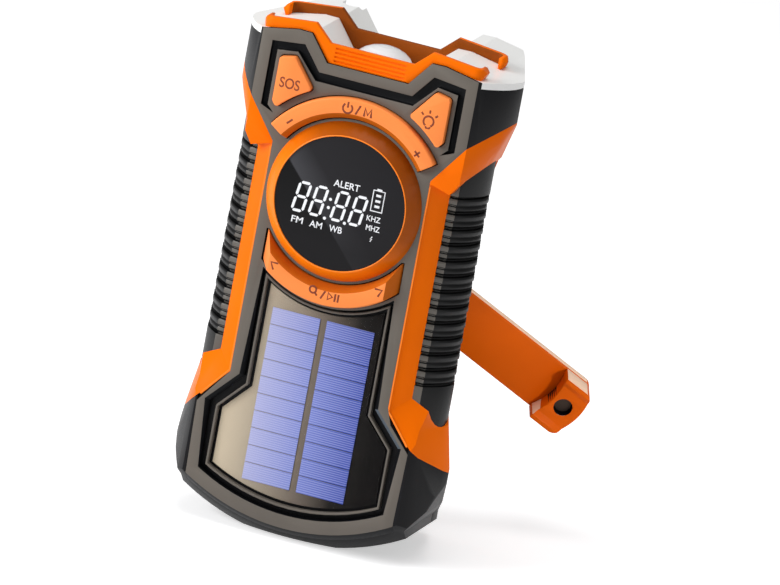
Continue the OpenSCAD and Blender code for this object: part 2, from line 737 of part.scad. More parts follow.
module guard_plan(in) column(0, 2 * head_h) offset(r = guard_round - in, $fn = small)
    translate([guard_round - guard_x_share * half_w, guard_y + guard_round])
        square([2 * (guard_x_share * half_w - guard_round), guard_d - 2 * guard_round]);
module guard_frame() at_foot() color([1, 0.42, 0.05]) difference() {
    intersection() {
        plate(guard_y, guard_y + guard_d) polygon(mirrored(concat(trace(guard_shares),
            [for (i = [len(top_shares) - 1:-1:0]) if (top_shares[i].x < guard_x_share) at(top_shares[i])])));
        guard_plan(0);
    }
    guard_plan(rail_t);
    for (i = [0:slot_n - 1]) block(-slot_w / 2, slot_w / 2, 0, guard_y + slot_d,
        at(guard_shares[0]).y - (i + 1) * slot_pitch, at(guard_shares[0]).y - (i + 1) * slot_pitch + slot_h);
}
module lamp_diffuser() at_foot() color([0.95, 0.95, 0.93]) difference() {
    intersection() {
        body_form();
        top_zone();
    }
    aerial_channel();
    lamp_hole(lens_r + run_fit);
}
module lamp_lens() at_foot() color([0.9, 0.93, 0.95], 0.5)
    translate([0, lamp_y, at(top_shares[0]).y - diffuser_t]) rotate_extrude($fn = fine) polygon(concat(
        [[0, 0], [lens_r, 0]],
        [for (a = [0:15:90]) [lens_r * cos(a), diffuser_t + lens_rise * sin(a)]]));
module lamp_cup() at_foot() color([0.85, 0.85, 0.87])
    translate([0, lamp_y, cup_z]) rotate_extrude($fn = fine) polygon([
        [led_r + clear, 0], [cup_r, 0], [lens_r, cup_d - cup_t], [lens_r, cup_d], [lens_r - cup_t, cup_d],
        [cup_r - cup_t, cup_t], [led_r + clear, cup_t]]);
module lamp_board() at_foot() color([0.2, 0.4, 0.3])
    translate([0, lamp_y, cup_z - board_t]) {
        cylinder(r = lamp_board_r, h = board_t, $fn = mid);
        cylinder(r = led_r, h = board_t + cup_t, $fn = mid);
    }

module key_board() at_foot() color([0.1, 0.35, 0.2]) {
    difference() {
        block(-board_x_share * half_w, board_x_share * half_w, board_y, board_back,
            board_low_share * foot_h, board_top_share * head_h);
        block(-lens_r - clear, lens_r + clear, 0, body_d, cup_z - board_t - clear, 2 * head_h);
    }
    for (a = concat(upper_turns, lower_turns)) spot(plunger_arc_r * cos(a), plunger_arc_r * sin(a))
        block(-switch_w / 2, switch_w / 2, board_y - switch_h, board_y, -switch_w / 2, switch_w / 2);
    corner_plungers()
        block(-switch_w / 2, switch_w / 2, board_y - switch_h, board_y, -switch_w / 2, switch_w / 2);
}
module main_board() at_foot() color([0.1, 0.35, 0.2]) {
    block(-main_x_share * half_w, main_x_share * half_w, main_y, main_back,
        main_low_share * foot_h, main_top_share * foot_h);
    for (c = chip_shares) block((c[0] - c[2] / 2) * half_w, (c[0] + c[2] / 2) * half_w,
        main_y - chip_h, main_y, (c[1] - c[3] / 2) * foot_h, (c[1] + c[3] / 2) * foot_h);
}
module battery_cradle() at_foot() color([0.2, 0.2, 0.2]) difference() {
    block(-cells_x - cell_r, cells_x + cell_r, main_back, cradle_y,
        cells_low_share * foot_h, cells_low_share * foot_h + cell_l);
    for (x = [-cells_x, cells_x]) translate([x, cells_y, -2 * foot_h])
        cylinder(r = cell_r + clear / 2, h = 2 * foot_h, $fn = fine);
}
module battery_cells() at_foot() color([0.2, 0.5, 0.8]) for (x = [-cells_x, cells_x])
    translate([x, cells_y, cells_low_share * foot_h]) cylinder(r = cell_r, h = cell_l, $fn = mid);
module ferrite_rod() at_foot() color([0.2, 0.2, 0.22])
    translate([rod_x_share * half_w, board_back + coil_r, -rod_l / 2])
        cylinder(r = rod_r, h = rod_l, $fn = mid);
module aerial_coil() at_foot() color([0.8, 0.45, 0.2])
    translate([rod_x_share * half_w, board_back + coil_r, -coil_l / 2]) difference() {
        cylinder(r = coil_r, h = coil_l, $fn = mid);
        translate([0, 0, -over]) cylinder(r = rod_r, h = coil_l + 2 * over, $fn = mid);
    }
module housing_screws() at_foot() color([0.7, 0.7, 0.72]) screws_at() {
    rod(screw_r, seam_y - screw_bite, body_d - screw_down);
    rod(screw_head_r, body_d - screw_down, body_d - screw_down + screw_head_t);
}

module speaker() at_foot() color([0.25, 0.25, 0.27]) spots([[speaker_x_share, speaker_z_share]]) {
    difference() {
        rod(speaker_r, body_d - wall - speaker_rim, body_d - wall);
        rod(speaker_r - 2 * speaker_rim, 0, body_d + over);
    }
    revolved() polygon([[0, body_d - wall - speaker_d], [speaker_magnet_r, body_d - wall - speaker_d],
        [speaker_magnet_r, body_d - wall - speaker_d / 2], [speaker_r, body_d - wall - speaker_rim],
        [speaker_r - speaker_rim, body_d - wall - speaker_rim],
        [speaker_magnet_r - speaker_rim, body_d - wall - speaker_d / 2 + speaker_rim],
        [0, body_d - wall - speaker_d / 2 + speaker_rim]]);
}
module speaker_cone() at_foot() color([0.15, 0.15, 0.15]) spots([[speaker_x_share, speaker_z_share]])
    revolved() polygon([[0, body_d - wall - speaker_d / 2 + speaker_rim],
        [speaker_magnet_r - speaker_rim, body_d - wall - speaker_d / 2 + speaker_rim],
        [speaker_r - 2 * speaker_rim, body_d - wall - speaker_rim / 2],
        [speaker_r - 2 * speaker_rim, body_d - wall],
        [speaker_magnet_r / 2, body_d - wall - speaker_rim], [0, body_d - wall - speaker_rim]]);

module port_board() at_foot() color([0.1, 0.35, 0.2]) spots([[ports_x_share, flap_z_share]])
    block(-flap_w / 2, flap_w / 2, port_board_y, port_board_y + board_t,
        -port_half_share * foot_h, port_half_share * foot_h);
module socket(w, h, tongue) {
    difference() {
        block(-h / 2, h / 2, port_board_y + board_t, body_d - flap_t - flap_gap, -w / 2, w / 2);
        block(usb_wall - h / 2, h / 2 - usb_wall, port_board_y + board_t + usb_wall, body_d,
            usb_wall - w / 2, w / 2 - usb_wall);
    }
    block(-tongue / 2, tongue / 2, port_board_y + board_t, body_d - wall - flap_t,
        -tongue_share * w, tongue_share * w);
}
module usb_a_port() at_foot() color([0.75, 0.75, 0.77]) spots([[ports_x_share, usb_a_share]])
    socket(usb_a_w, usb_a_h, tongue_t);
module usb_c_port() at_foot() color([0.75, 0.75, 0.77]) spots([[ports_x_share, usb_c_share]])
    socket(usb_c_w, usb_c_h, tongue_c);
module port_cover() at_foot() color([0.07, 0.07, 0.08]) spots([[ports_x_share, flap_z_share]]) {
    block(flap_t / 2 - flap_w / 2, flap_w / 2, body_d - flap_t, body_d, -flap_tall / 2, flap_tall / 2);
    translate([flap_t / 2 - flap_w / 2, body_d - flap_t / 2, -flap_tall / 2])
        cylinder(r = flap_t / 2, h = flap_tall, $fn = small);
}

module gear_plate() at_foot() color([0.6, 0.6, 0.62]) {
    difference() {
        plate(plate_y, plate_y + plate_t) polygon(trace(plate_shares));
        spot(0, crank_z) rod(journal_r + run_fit, 0, body_d);
        spot(rotor_x, rotor_z) rod(rotor_shaft_r + run_fit, 0, body_d);
        spot(idler_x, idler_z) rod(idler_pin_r, 0, body_d);
    }
    spots(plate_post_shares) rod(post_r + clear, plate_y, body_d - wall);
}
module idler_pin() at_foot() color([0.8, 0.8, 0.82]) spot(idler_x, idler_z)
    rod(idler_pin_r, plate_y, body_d - wall);
module idler_gear() at_foot() color([0.92, 0.9, 0.85]) spot(idler_x, idler_z) difference() {
    union() {
        plate(low_gear_y, low_gear_y + gear_t) gear(idler_large, rotor_angle);
        plate(low_gear_y + gear_t, high_gear_y + gear_t)
            gear(idler_small, idler_angle + 180 + 180 / idler_small);
    }
    rod(idler_pin_r + run_fit, 0, body_d);
}
module drive_gear() at_foot() color([0.92, 0.9, 0.85]) spot(0, crank_z) difference() {
    plate(high_gear_y, high_gear_y + gear_t) gear(drive_teeth, idler_angle);
    rod(shaft_r, 0, body_d);
}
module crank_shaft() at_foot() color([0.7, 0.7, 0.72]) spot(0, crank_z) {
    rod(journal_r, plate_y, high_gear_y);
    rod(shaft_r, high_gear_y, body_d + hub_lift);
}
module shaft_bush() at_foot() color([0.75, 0.6, 0.35]) spot(0, crank_z) difference() {
    union() {
        rod(bush_r, body_d - wall, body_d);
        rod(bush_flange_r, body_d - wall - bush_flange, body_d - wall);
    }
    rod(shaft_r + run_fit, 0, body_d + over);
}
module generator_can() at_foot() color([0.6, 0.6, 0.62]) spot(rotor_x, rotor_z) difference() {
    rod(can_r, plate_y - can_d, plate_y);
    rod(can_r - can_t, plate_y - can_d + can_t, plate_y + over);
}
module stator_coils() at_foot() color([0.8, 0.45, 0.2]) spot(rotor_x, rotor_z) difference() {
    rod(can_r - can_t, plate_y - can_d + 2 * can_t, plate_y - 2 * can_t);
    rod(stator_r0, 0, body_d);
}
module rotor_magnet() at_foot() color([0.35, 0.35, 0.38]) spot(rotor_x, rotor_z) difference() {
    rod(rotor_r, plate_y - can_d / 2 - rotor_d / 2, plate_y - can_d / 2 + rotor_d / 2);
    rod(rotor_shaft_r, 0, body_d);
}
module rotor_shaft() at_foot() color([0.8, 0.8, 0.82]) spot(rotor_x, rotor_z)
    rod(rotor_shaft_r, plate_y - can_d / 2 - rotor_d / 2 - can_t, low_gear_y + gear_t);
module rotor_pinion() at_foot() color([0.75, 0.6, 0.35]) spot(rotor_x, rotor_z) difference() {
    plate(low_gear_y, low_gear_y + gear_t) gear(rotor_teeth, rotor_angle + 180 + 180 / rotor_teeth);
    rod(rotor_shaft_r, 0, body_d);
}

module crank_hub() at_foot() color([1, 0.42, 0.05]) hub_frame() difference() {
    union() {
        rod(hub_r, body_d + hub_lift, body_d + hub_lift + hub_t);
        for (side = [-1, 1]) translate([0, 0, side * (arm_w / 2 - ear_t / 2)]) {
            translate([0, pin_y, -ear_t / 2]) cylinder(r = ear_r, h = ear_t, $fn = mid);
            block(-ear_r, ear_r, body_d + hub_lift, pin_y, -ear_t / 2, ear_t / 2);
        }
    }
    translate([0, pin_y, -arm_w]) cylinder(r = fold_pin_r, h = 2 * arm_w, $fn = mid);
}
module fold_pin() at_foot() color([0.75, 0.75, 0.77]) hub_frame()
    translate([0, pin_y, pin_short - arm_w / 2])
        cylinder(r = fold_pin_r, h = arm_w - 2 * pin_short, $fn = mid);
module crank_outline(from) intersection() {
    translate([from, -arm_w / 2]) square([crank_reach - from, arm_w]);
    offset(r = crank_corner_r, $fn = small) offset(delta = -crank_corner_r) intersection() {
        translate([0, -arm_w / 2]) square([crank_reach, arm_w]);
        union() {
            translate([crank_reach - crank_end_r, 0]) circle(r = crank_end_r, $fn = fine);
            translate([0, -arm_w / 2]) square([crank_reach - crank_end_r, arm_w]);
        }
    }
}
module crank_arm() at_foot() color([1, 0.42, 0.05]) arm_frame() difference() {
    union() {
        plate(-arm_t / 2, arm_t / 2) crank_outline(arm_start);
        block(0, arm_start, -arm_t / 2, arm_t / 2, ear_t + ear_gap - arm_w / 2, arm_w / 2 - ear_t - ear_gap);
        translate([0, 0, ear_t + ear_gap - arm_w / 2])
            cylinder(r = ear_r - clear, h = arm_w - 2 * (ear_t + ear_gap), $fn = mid);
    }
    translate([0, 0, -arm_w]) cylinder(r = fold_pin_r + run_fit, h = 2 * arm_w, $fn = mid);
}
module crank_knob() at_foot() color([1, 0.42, 0.05]) arm_frame() difference() {
    plate(arm_t / 2 - knob_h, -arm_t / 2 - knob_gap) crank_outline(crank_reach - knob_l);
    beam(0, 2 * crank_reach) polygon([[arm_t / 2 - knob_h - over, knob_rim - arm_w / 2],
        [arm_t / 2 - knob_h, knob_rim - arm_w / 2],
        [arm_t / 2 - knob_h + knob_channel, knob_rim + knob_slope - arm_w / 2],
        [arm_t / 2 - knob_h + knob_channel, arm_w / 2 - knob_rim - knob_slope],
        [arm_t / 2 - knob_h, arm_w / 2 - knob_rim], [arm_t / 2 - knob_h - over, arm_w / 2 - knob_rim]]);
    translate([crank_reach - knob_l + knob_scoop - knob_scoop_r, 0, 0]) plate(-2 * knob_h, 0)
        circle(r = knob_scoop_r, $fn = fine);
    translate([crank_reach - knob_l / 2, 0, 0]) {
        rod(knob_pin_r + run_fit, -2 * knob_h, 0);
        rod(knob_hole_r, -2 * knob_h, arm_t / 2 - knob_h + knob_seat_d);
    }
}
module knob_pin() at_foot() color([0.6, 0.6, 0.62]) arm_frame() translate([crank_reach - knob_l / 2, 0, 0]) {
    rod(knob_pin_r, arm_t / 2 - knob_h + knob_seat_d - clear, -arm_t / 2);
    rod(knob_head_r, arm_t / 2 - knob_h + knob_seat_d - clear - plate_t,
        arm_t / 2 - knob_h + knob_seat_d - clear);
}

module aerial_pin() at_foot() color([0.75, 0.75, 0.77]) aerial_pin_at()
    cylinder(r = aerial_pin_r, h = 2 * channel_r + wall, center = true, $fn = small);
module aerial_outer() at_foot() color([0.8, 0.8, 0.82]) aerial_at() difference() {
    union() {
        cylinder(r = aerial_r, h = aerial_l, $fn = mid);
        sphere(r = aerial_r, $fn = mid);
    }
    translate([0, 0, 2 * aerial_r]) cylinder(r = aerial_r - aerial_wall, h = aerial_l, $fn = mid);
    rotate([0, 90, 0]) cylinder(r = aerial_pin_r + run_fit, h = 4 * aerial_r, center = true, $fn = small);
}
middle_r = aerial_r - aerial_wall - run_fit;
inner_r = middle_r - aerial_wall - run_fit;
module aerial_middle() at_foot() color([0.8, 0.8, 0.82]) aerial_at() difference() {
    translate([0, 0, 2 * aerial_r + clear])
        cylinder(r = middle_r, h = aerial_l + aerial_step - 2 * aerial_r - clear, $fn = mid);
    translate([0, 0, 3 * aerial_r]) cylinder(r = middle_r - aerial_wall, h = aerial_l, $fn = mid);
}
module aerial_inner() at_foot() color([0.8, 0.8, 0.82]) aerial_at() {
    translate([0, 0, 3 * aerial_r + clear])
        cylinder(r = inner_r, h = aerial_l + 2 * aerial_step - 3 * aerial_r - clear, $fn = mid);
    translate([0, 0, aerial_l + 2 * aerial_step]) cylinder(r = tip_r, h = tip_l, $fn = mid);
}

face_panel();
front_housing();
rear_housing();
side_band_right();
side_band_left();
grip_right();
grip_left();
display_bezel();
display_glass();
display_module();
sos_key();
lamp_key();
upper_key();
lower_key();
solar_board();
solar_cells();
solar_glass();
solar_frame();
guard_frame();
lamp_diffuser();
lamp_lens();
lamp_cup();
lamp_board();
key_board();
main_board();
battery_cradle();
battery_cells();
ferrite_rod();
aerial_coil();
housing_screws();
speaker();
speaker_cone();
port_board();
usb_a_port();
usb_c_port();
port_cover();
gear_plate();
idler_pin();
idler_gear();
drive_gear();
crank_shaft();
shaft_bush();
generator_can();
stator_coils();
rotor_magnet();
rotor_shaft();
rotor_pinion();
crank_hub();
fold_pin();
crank_arm();
crank_knob();
knob_pin();
aerial_pin();
aerial_outer();
aerial_middle();
aerial_inner();
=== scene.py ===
# %% [markdown]
# # A hand crank phone charger, dressed in Blender
#
# The construction comes from CAD: every panel, key, gear and tube is already there, in metres,
# standing on its flat foot with its face towards -Y.
# This lesson adds what CAD leaves out: rounded edges, finishes, the marks on the keys and the light.

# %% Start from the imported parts
import json
import math

import bmesh
import bpy
from mathutils import Matrix, Vector

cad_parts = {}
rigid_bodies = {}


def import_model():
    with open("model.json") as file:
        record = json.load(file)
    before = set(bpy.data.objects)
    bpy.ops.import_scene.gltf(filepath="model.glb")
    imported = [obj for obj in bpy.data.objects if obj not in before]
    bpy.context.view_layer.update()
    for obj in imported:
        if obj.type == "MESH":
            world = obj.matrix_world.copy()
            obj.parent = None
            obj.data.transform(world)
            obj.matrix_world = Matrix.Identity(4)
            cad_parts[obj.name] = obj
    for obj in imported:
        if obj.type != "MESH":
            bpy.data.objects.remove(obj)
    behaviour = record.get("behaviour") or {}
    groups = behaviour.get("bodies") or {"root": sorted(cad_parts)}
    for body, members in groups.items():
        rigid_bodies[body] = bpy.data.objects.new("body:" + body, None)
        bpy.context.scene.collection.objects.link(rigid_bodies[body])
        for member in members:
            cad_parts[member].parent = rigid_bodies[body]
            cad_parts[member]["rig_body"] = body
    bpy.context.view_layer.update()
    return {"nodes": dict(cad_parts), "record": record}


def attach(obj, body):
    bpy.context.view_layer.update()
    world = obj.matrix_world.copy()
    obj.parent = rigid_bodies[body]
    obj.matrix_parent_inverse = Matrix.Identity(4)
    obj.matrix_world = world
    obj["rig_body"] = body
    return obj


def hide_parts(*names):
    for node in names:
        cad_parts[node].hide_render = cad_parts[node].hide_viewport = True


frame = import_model()
nodes = frame["nodes"]
print("CAD pieces:", len(nodes))

# %% [markdown]
# ## Places
#
# The sizes on the face are easiest to give from the centre of the round display:
# x to the right, y into the body, z up, all in millimetres. One helper turns them into
# Blender's metres, so no later cell has to add the display's height or the body's depth again.

# %% Places on the face
BODY_DEPTH = 50.0
DISPLAY_HEIGHT = 107.3


def place(x, y, z):
    """A point given in millimetres from the display's centre, in metres."""
    return Vector((x, y - BODY_DEPTH / 2, z + DISPLAY_HEIGHT)) / 1000


# %% [markdown]
# ## Camera
#
# The picture was taken from far away with a long lens, a little from the right and from above,
# with the charger leaning in the frame. A camera could be placed by hand until the picture fits;
# here its right and up directions are given instead, and the third follows from them. From 6 m
# away it gives the same nearly parallel view, and SCALE says how many pixels a millimetre takes.

# %% Camera
PICTURE = (780, 585)
DISPLAY_AT = (343.9, 201.4)
SCALE = 3.337
DISTANCE = 6.0
SENSOR_MM = 36
FARTHEST = 50
right = Vector((0.934, 0.310, 0.177)).normalized()
up = Vector((-0.243, 0.189, 0.952)).normalized()
towards = right.cross(up).normalized()
up = towards.cross(right).normalized()
across = PICTURE[0] / 2 - DISPLAY_AT[0]
down = PICTURE[1] / 2 - DISPLAY_AT[1]
aim = place(0, 0, 0) + (right * across - up * down) / SCALE / 1000
axes = Matrix((right, up, towards)).transposed().to_4x4()
camera = bpy.data.objects.new("camera", bpy.data.cameras.new("camera"))
bpy.context.scene.collection.objects.link(camera)
camera.matrix_world = Matrix.Translation(aim + towards * DISTANCE) @ axes
camera.data.sensor_width = SENSOR_MM
camera.data.lens = SCALE * DISTANCE * 1000 * SENSOR_MM / PICTURE[0]
camera.data.clip_end = FARTHEST
bpy.context.scene.camera = camera
bpy.context.scene.view_settings.view_transform = "Standard"
print("lens:", round(camera.data.lens, 1), "mm")

# %% [markdown]
# ## Floor and light
#
# A pale studio has a floor that shows as white but still catches the shadow. White could come
# from more light, but that would bleach the charger too. So the floor's extra white is only for
# rays that are seen, straight or in a mirror.

# %% Helpers for shader nodes


def add_node(tree, kind, **sockets):
    """Adds a shader node; sockets are its inputs by name, set to a value or joined to an output."""
    made = tree.nodes.new(kind)
    for name, value in sockets.items():
        socket = made.inputs[name.replace("_", " ")]
        if isinstance(value, bpy.types.NodeSocket):
            tree.links.new(value, socket)
        else:
            socket.default_value = value
    return made


def bare_tree(owner):
    """The empty node tree of a material or a world."""
    owner.use_nodes = True
    owner.node_tree.nodes.clear()
    return owner.node_tree


def ranged(tree, value, low, high, start=0.3, end=0.7):
    """A node that turns the range start to end into the range low to high."""
    made = add_node(tree, "ShaderNodeMapRange", Value=value)
    made.inputs["From Min"].default_value = start
    made.inputs["From Max"].default_value = end
    made.inputs["To Min"].default_value = low
    made.inputs["To Max"].default_value = high
    return made.outputs["Result"]


# %% The floor's finish
CAMERA_WHITE = 0.5
floor_paint = bpy.data.materials.new("studio_floor")
tree = bare_tree(floor_paint)
rays = add_node(tree, "ShaderNodeLightPath")
seen = rays.outputs["Is Camera Ray"]
for ray in ("Is Glossy Ray", "Is Transmission Ray"):
    either = add_node(tree, "ShaderNodeMath")
    either.operation = "MAXIMUM"
    tree.links.new(seen, either.inputs[0])
    tree.links.new(rays.outputs[ray], either.inputs[1])
    seen = either.outputs[0]
extra = ranged(tree, seen, 0, CAMERA_WHITE, 0, 1)
matt = add_node(tree, "ShaderNodeBsdfDiffuse", Color=(0.86, 0.86, 0.87, 1))
glow = add_node(tree, "ShaderNodeEmission", Color=(1, 1, 1, 1), Strength=extra)
both = add_node(tree, "ShaderNodeAddShader")
tree.links.new(matt.outputs[0], both.inputs[0])
tree.links.new(glow.outputs[0], both.inputs[1])
tree.links.new(both.outputs[0], add_node(tree, "ShaderNodeOutputMaterial").inputs[0])

# %% The floor itself
FLOOR_HALF = 6
FLOOR_DROP = 0.0002
sheet = bmesh.new()
bmesh.ops.create_grid(sheet, x_segments=8, y_segments=8, size=FLOOR_HALF)
floor_mesh = bpy.data.meshes.new("floor")
sheet.to_mesh(floor_mesh)
sheet.free()
floor = bpy.data.objects.new("floor", floor_mesh)
floor.location.z = -FLOOR_DROP
bpy.context.scene.collection.objects.link(floor)
floor.data.materials.append(floor_paint)
print("floor:", 2 * FLOOR_HALF, "m across")

# %% [markdown]
# The light is one large soft lamp from the front left, a weaker one from above, a faint one from
# the right, and a little spot on the crank, which the body would leave in the shade. The strength
# of a lamp depends on its distance; giving it as a share of full white on the charger keeps the
# lamps easy to compare.

# %% Lamps
ABOUT_THE_MIDDLE = (0, 0, 0.08)
SPOT_BLEND = 0.4


def soft_lamp(name, direction, distance, size, share, at=ABOUT_THE_MIDDLE, cone=0.0):
    """A lamp aimed at a point; share is how much of full white it gives a surface facing it.

    It is a square panel, or a spot when a cone is given in degrees. A spot takes four times the
    power of a panel for the same light."""
    if cone:
        lamp = bpy.data.lights.new(name, "SPOT")
        lamp.spot_size = math.radians(cone)
        lamp.spot_blend = SPOT_BLEND
        lamp.shadow_soft_size = size / 2
        lamp.energy = 4 * share * math.pi**2 * distance**2
    else:
        lamp = bpy.data.lights.new(name, "AREA")
        lamp.size = size
        lamp.energy = share * math.pi**2 * distance**2
    made = bpy.data.objects.new(name, lamp)
    bpy.context.scene.collection.objects.link(made)
    out = Vector(direction).normalized()
    made.location = Vector(at) + out * distance
    made.rotation_euler = out.to_track_quat("Z", "Y").to_euler()
    print(name, "power:", round(lamp.energy, 2), "W")


soft_lamp("key_lamp", (-0.72, -0.62, 0.42), 1.2, 0.7, 0.88)
soft_lamp("top_lamp", (0.05, -0.12, 1.0), 1.2, 0.8, 0.46)
soft_lamp("rim_lamp", (1.0, -0.25, 0.3), 1.3, 0.35, 0.06)
soft_lamp("crank_lamp", (0.75, -0.65, 0.05), 0.8, 0.1, 0.8, at=place(48, 84, -58), cone=5.5)

# %% [markdown]
# The world fills the shadows with a weak even light. A ray straight from the camera sees it at
# full strength instead, so the background stays white from every side.

# %% World
WORLD_LIGHT = 0.27
world = bpy.data.worlds.new("studio")
bpy.context.scene.world = world
tree = bare_tree(world)
seen = add_node(tree, "ShaderNodeLightPath").outputs["Is Camera Ray"]
strength = ranged(tree, seen, WORLD_LIGHT, 1, 0, 1)
surround = add_node(tree, "ShaderNodeBackground", Color=(1, 1, 1, 1), Strength=strength)
tree.links.new(surround.outputs[0], add_node(tree, "ShaderNodeOutputWorld").inputs[0])

# %% [markdown]
# ## Finishes
#
# Nearly everything is moulded plastic. A moulded surface is never one flat colour: it has a faint
# unevenness of tone, a fine spark texture from the mould, and a slightly uneven gloss.
# One function makes all three from noise, and each finish gives its own amounts.

# %% Colour and noise


def painted(r, g, b):
    """A colour as seen on screen, 0 to 255, as the shader's linear colour."""
    return [((c / 255 + 0.055) / 1.055) ** 2.4 if c > 10 else c / 255 / 12.92 for c in (r, g, b)]


def noise(tree, where, size_mm, detail=2.0):
    """Noise between 0 and 1 whose blots are about size_mm across."""
    made = add_node(tree, "ShaderNodeTexNoise", Scale=1000 / size_mm, Detail=detail)
    tree.links.new(where, made.inputs["Vector"])
    return made.outputs["Fac"]


def two_tones(tree, share, first, second):
    """A mix of two colours, by share from the first to the second."""
    made = tree.nodes.new("ShaderNodeMix")
    made.data_type = "RGBA"
    tree.links.new(share, made.inputs["Factor"])
    made.inputs["A"].default_value = (*first, 1)
    made.inputs["B"].default_value = (*second, 1)
    return made.outputs["Result"]


# %% A moulded surface
finishes = {}
GLOSS_SPREAD = 0.12
BUMP_SHARE = 0.35


def moulded(name, colour, rough, tone=0.07, tone_mm=18.0, spark=0.02, spark_mm=0.35,
            metal=0.0, coat=0.0, stretch=(1, 1, 1), **more):
    """A finish with uneven tone, fine bumps and uneven gloss.

    tone is how far the colour strays, spark how high the bumps are, both with their size in
    millimetres; `more` sets any other socket of the shader."""
    material = bpy.data.materials.new(name)
    tree = bare_tree(material)
    body = add_node(tree, "ShaderNodeBsdfPrincipled", Metallic=metal)
    body.inputs["Coat Weight"].default_value = coat
    for socket, value in more.items():
        body.inputs[socket.replace("_", " ")].default_value = value
    where = add_node(tree, "ShaderNodeTexCoord").outputs["Object"]
    shaped = tree.nodes.new("ShaderNodeMapping")
    shaped.inputs["Scale"].default_value = stretch
    tree.links.new(where, shaped.inputs["Vector"])
    where = shaped.outputs[0]
    broad = noise(tree, where, tone_mm)
    darker = [c * (1 - tone) for c in colour]
    lighter = [min(1, c * (1 + tone)) for c in colour]
    tree.links.new(two_tones(tree, ranged(tree, broad, 0, 1), darker, lighter), body.inputs["Base Color"])
    fine = noise(tree, where, spark_mm, 3.0)
    gloss = ranged(tree, fine, rough * (1 - GLOSS_SPREAD), min(1, rough * (1 + GLOSS_SPREAD)))
    tree.links.new(gloss, body.inputs["Roughness"])
    bump = add_node(tree, "ShaderNodeBump", Strength=BUMP_SHARE, Distance=spark / 1000, Height=fine)
    tree.links.new(bump.outputs[0], body.inputs["Normal"])
    tree.links.new(body.outputs[0], add_node(tree, "ShaderNodeOutputMaterial").inputs[0])
    finishes[name] = material


# %% [markdown]
# ## Plastics
#
# The housing is black, the panel a warm grey, and there are several oranges: the trim is the
# purest, the keys are paler, and the crank is duller. Lit and shaded copies of the same orange are
# finishes of their own, painted light and shade for faces that lie in a dished ring, in another
# piece's shade or in a highlight.

# %% The plastics
ORANGE = painted(250, 112, 0)
moulded("panel_grey", painted(104, 98, 91), 0.46, tone=0.05, spark=0.03, Specular_IOR_Level=0.16)
moulded("shell_black", painted(20, 20, 22), 0.42, tone=0.12, spark=0.03, Specular_IOR_Level=0.12)
moulded("trim_orange", ORANGE, 0.36, tone=0.03, spark=0.015, Specular_IOR_Level=0.06)
# The next five oranges are painted light and shade: the bezel's, which later takes a painted ramp,
# painted shade on the keys' bevels, a painted highlight on the bezel's lip and the bands' edges, painted
# shade on the guard's rear rail and a painted sheen on the crank's upper edges.
moulded("bezel_orange", ORANGE, 0.34, tone=0.03, spark=0.015, Specular_IOR_Level=0.12)
moulded("key_shade", painted(196, 98, 20), 0.45, tone=0.04, spark=0.015, Specular_IOR_Level=0.1)
moulded("highlight_orange", painted(255, 132, 34), 0.3, tone=0.02, spark=0.01, Specular_IOR_Level=0.2)
moulded("guard_shade", painted(140, 66, 7), 0.5, tone=0.08, spark=0.02, Specular_IOR_Level=0.1)
moulded("edge_sheen", painted(255, 214, 184), 0.4, tone=0.03, spark=0.01, Specular_IOR_Level=0.2)
moulded("key_orange", painted(254, 142, 72), 0.42, tone=0.03, spark=0.015, Specular_IOR_Level=0.14)
moulded("crank_orange", painted(224, 94, 0), 0.38, tone=0.04, spark=0.015, Specular_IOR_Level=0.08)
moulded("grip_rubber", painted(10, 10, 11), 0.42, tone=0.15, spark=0.04, spark_mm=0.5,
        Specular_IOR_Level=0.22)
# Black for the grooves, also painted shade on the recess's slope and in the knob's hole; then a
# blue-grey, painted light on the slope's lit side.
moulded("groove_black_and_shade", painted(14, 15, 18), 0.5, tone=0.1, spark=0.02, Specular_IOR_Level=0.12)
moulded("lit_slope_slate", painted(84, 92, 100), 0.5, tone=0.06, spark=0.02, Specular_IOR_Level=0.1)
moulded("inner_plastic", painted(90, 90, 94), 0.6, tone=0.08, spark=0.03)
moulded("gear_nylon", painted(226, 220, 205), 0.5, tone=0.04, spark=0.03)
moulded("mark_orange", painted(124, 46, 6), 0.55, tone=0.04, spark=0.01)
moulded("cell_sleeve", painted(40, 96, 160), 0.35, tone=0.06, spark=0.01)
moulded("speaker_paper", painted(40, 40, 42), 0.85, tone=0.15, spark=0.15, spark_mm=1.2)
print("plastics:", len(finishes))

# %% [markdown]
# ## Metals and inner parts
#
# Most of these are never seen, but they are there when someone takes the charger apart. A metal
# is the same finish with its metal amount at 1; the copper wire of the coils has its noise
# stretched, so that it looks wound.

# %% The metals and the rest of the inner parts
moulded("steel", painted(196, 197, 200), 0.3, tone=0.04, spark=0.01, metal=1.0)
# The pin in the crank's knob is painted dark, as the shade in its hole.
moulded("pin_shade_dark", painted(60, 50, 44), 0.5, tone=0.1, spark=0.02, metal=1.0)
moulded("brass", painted(212, 176, 98), 0.32, tone=0.05, spark=0.01, metal=1.0)
moulded("aerial_chrome", painted(222, 223, 226), 0.12, tone=0.03, spark=0.002, metal=1.0)
moulded("reflector", painted(228, 228, 230), 0.14, tone=0.02, spark=0.004, metal=1.0)
moulded("speaker_metal", painted(110, 111, 114), 0.45, tone=0.05, metal=1.0)
moulded("ferrite", painted(70, 68, 68), 0.7, tone=0.12, spark=0.06, spark_mm=0.8)
moulded("circuit_board", painted(26, 92, 54), 0.4, tone=0.12, tone_mm=6, spark=0.03)
moulded("copper_wire", painted(190, 110, 62), 0.35, tone=0.1, spark=0.12, spark_mm=0.5, metal=1.0,
        stretch=(0.15, 0.15, 1.6))
moulded("solar_backing", painted(118, 106, 98), 0.5, tone=0.06, spark=0.001, spark_mm=6,
        Specular_IOR_Level=0.05)
moulded("diffuser_white", painted(252, 252, 250), 0.35, tone=0.005, spark=0.01, coat=0.2)
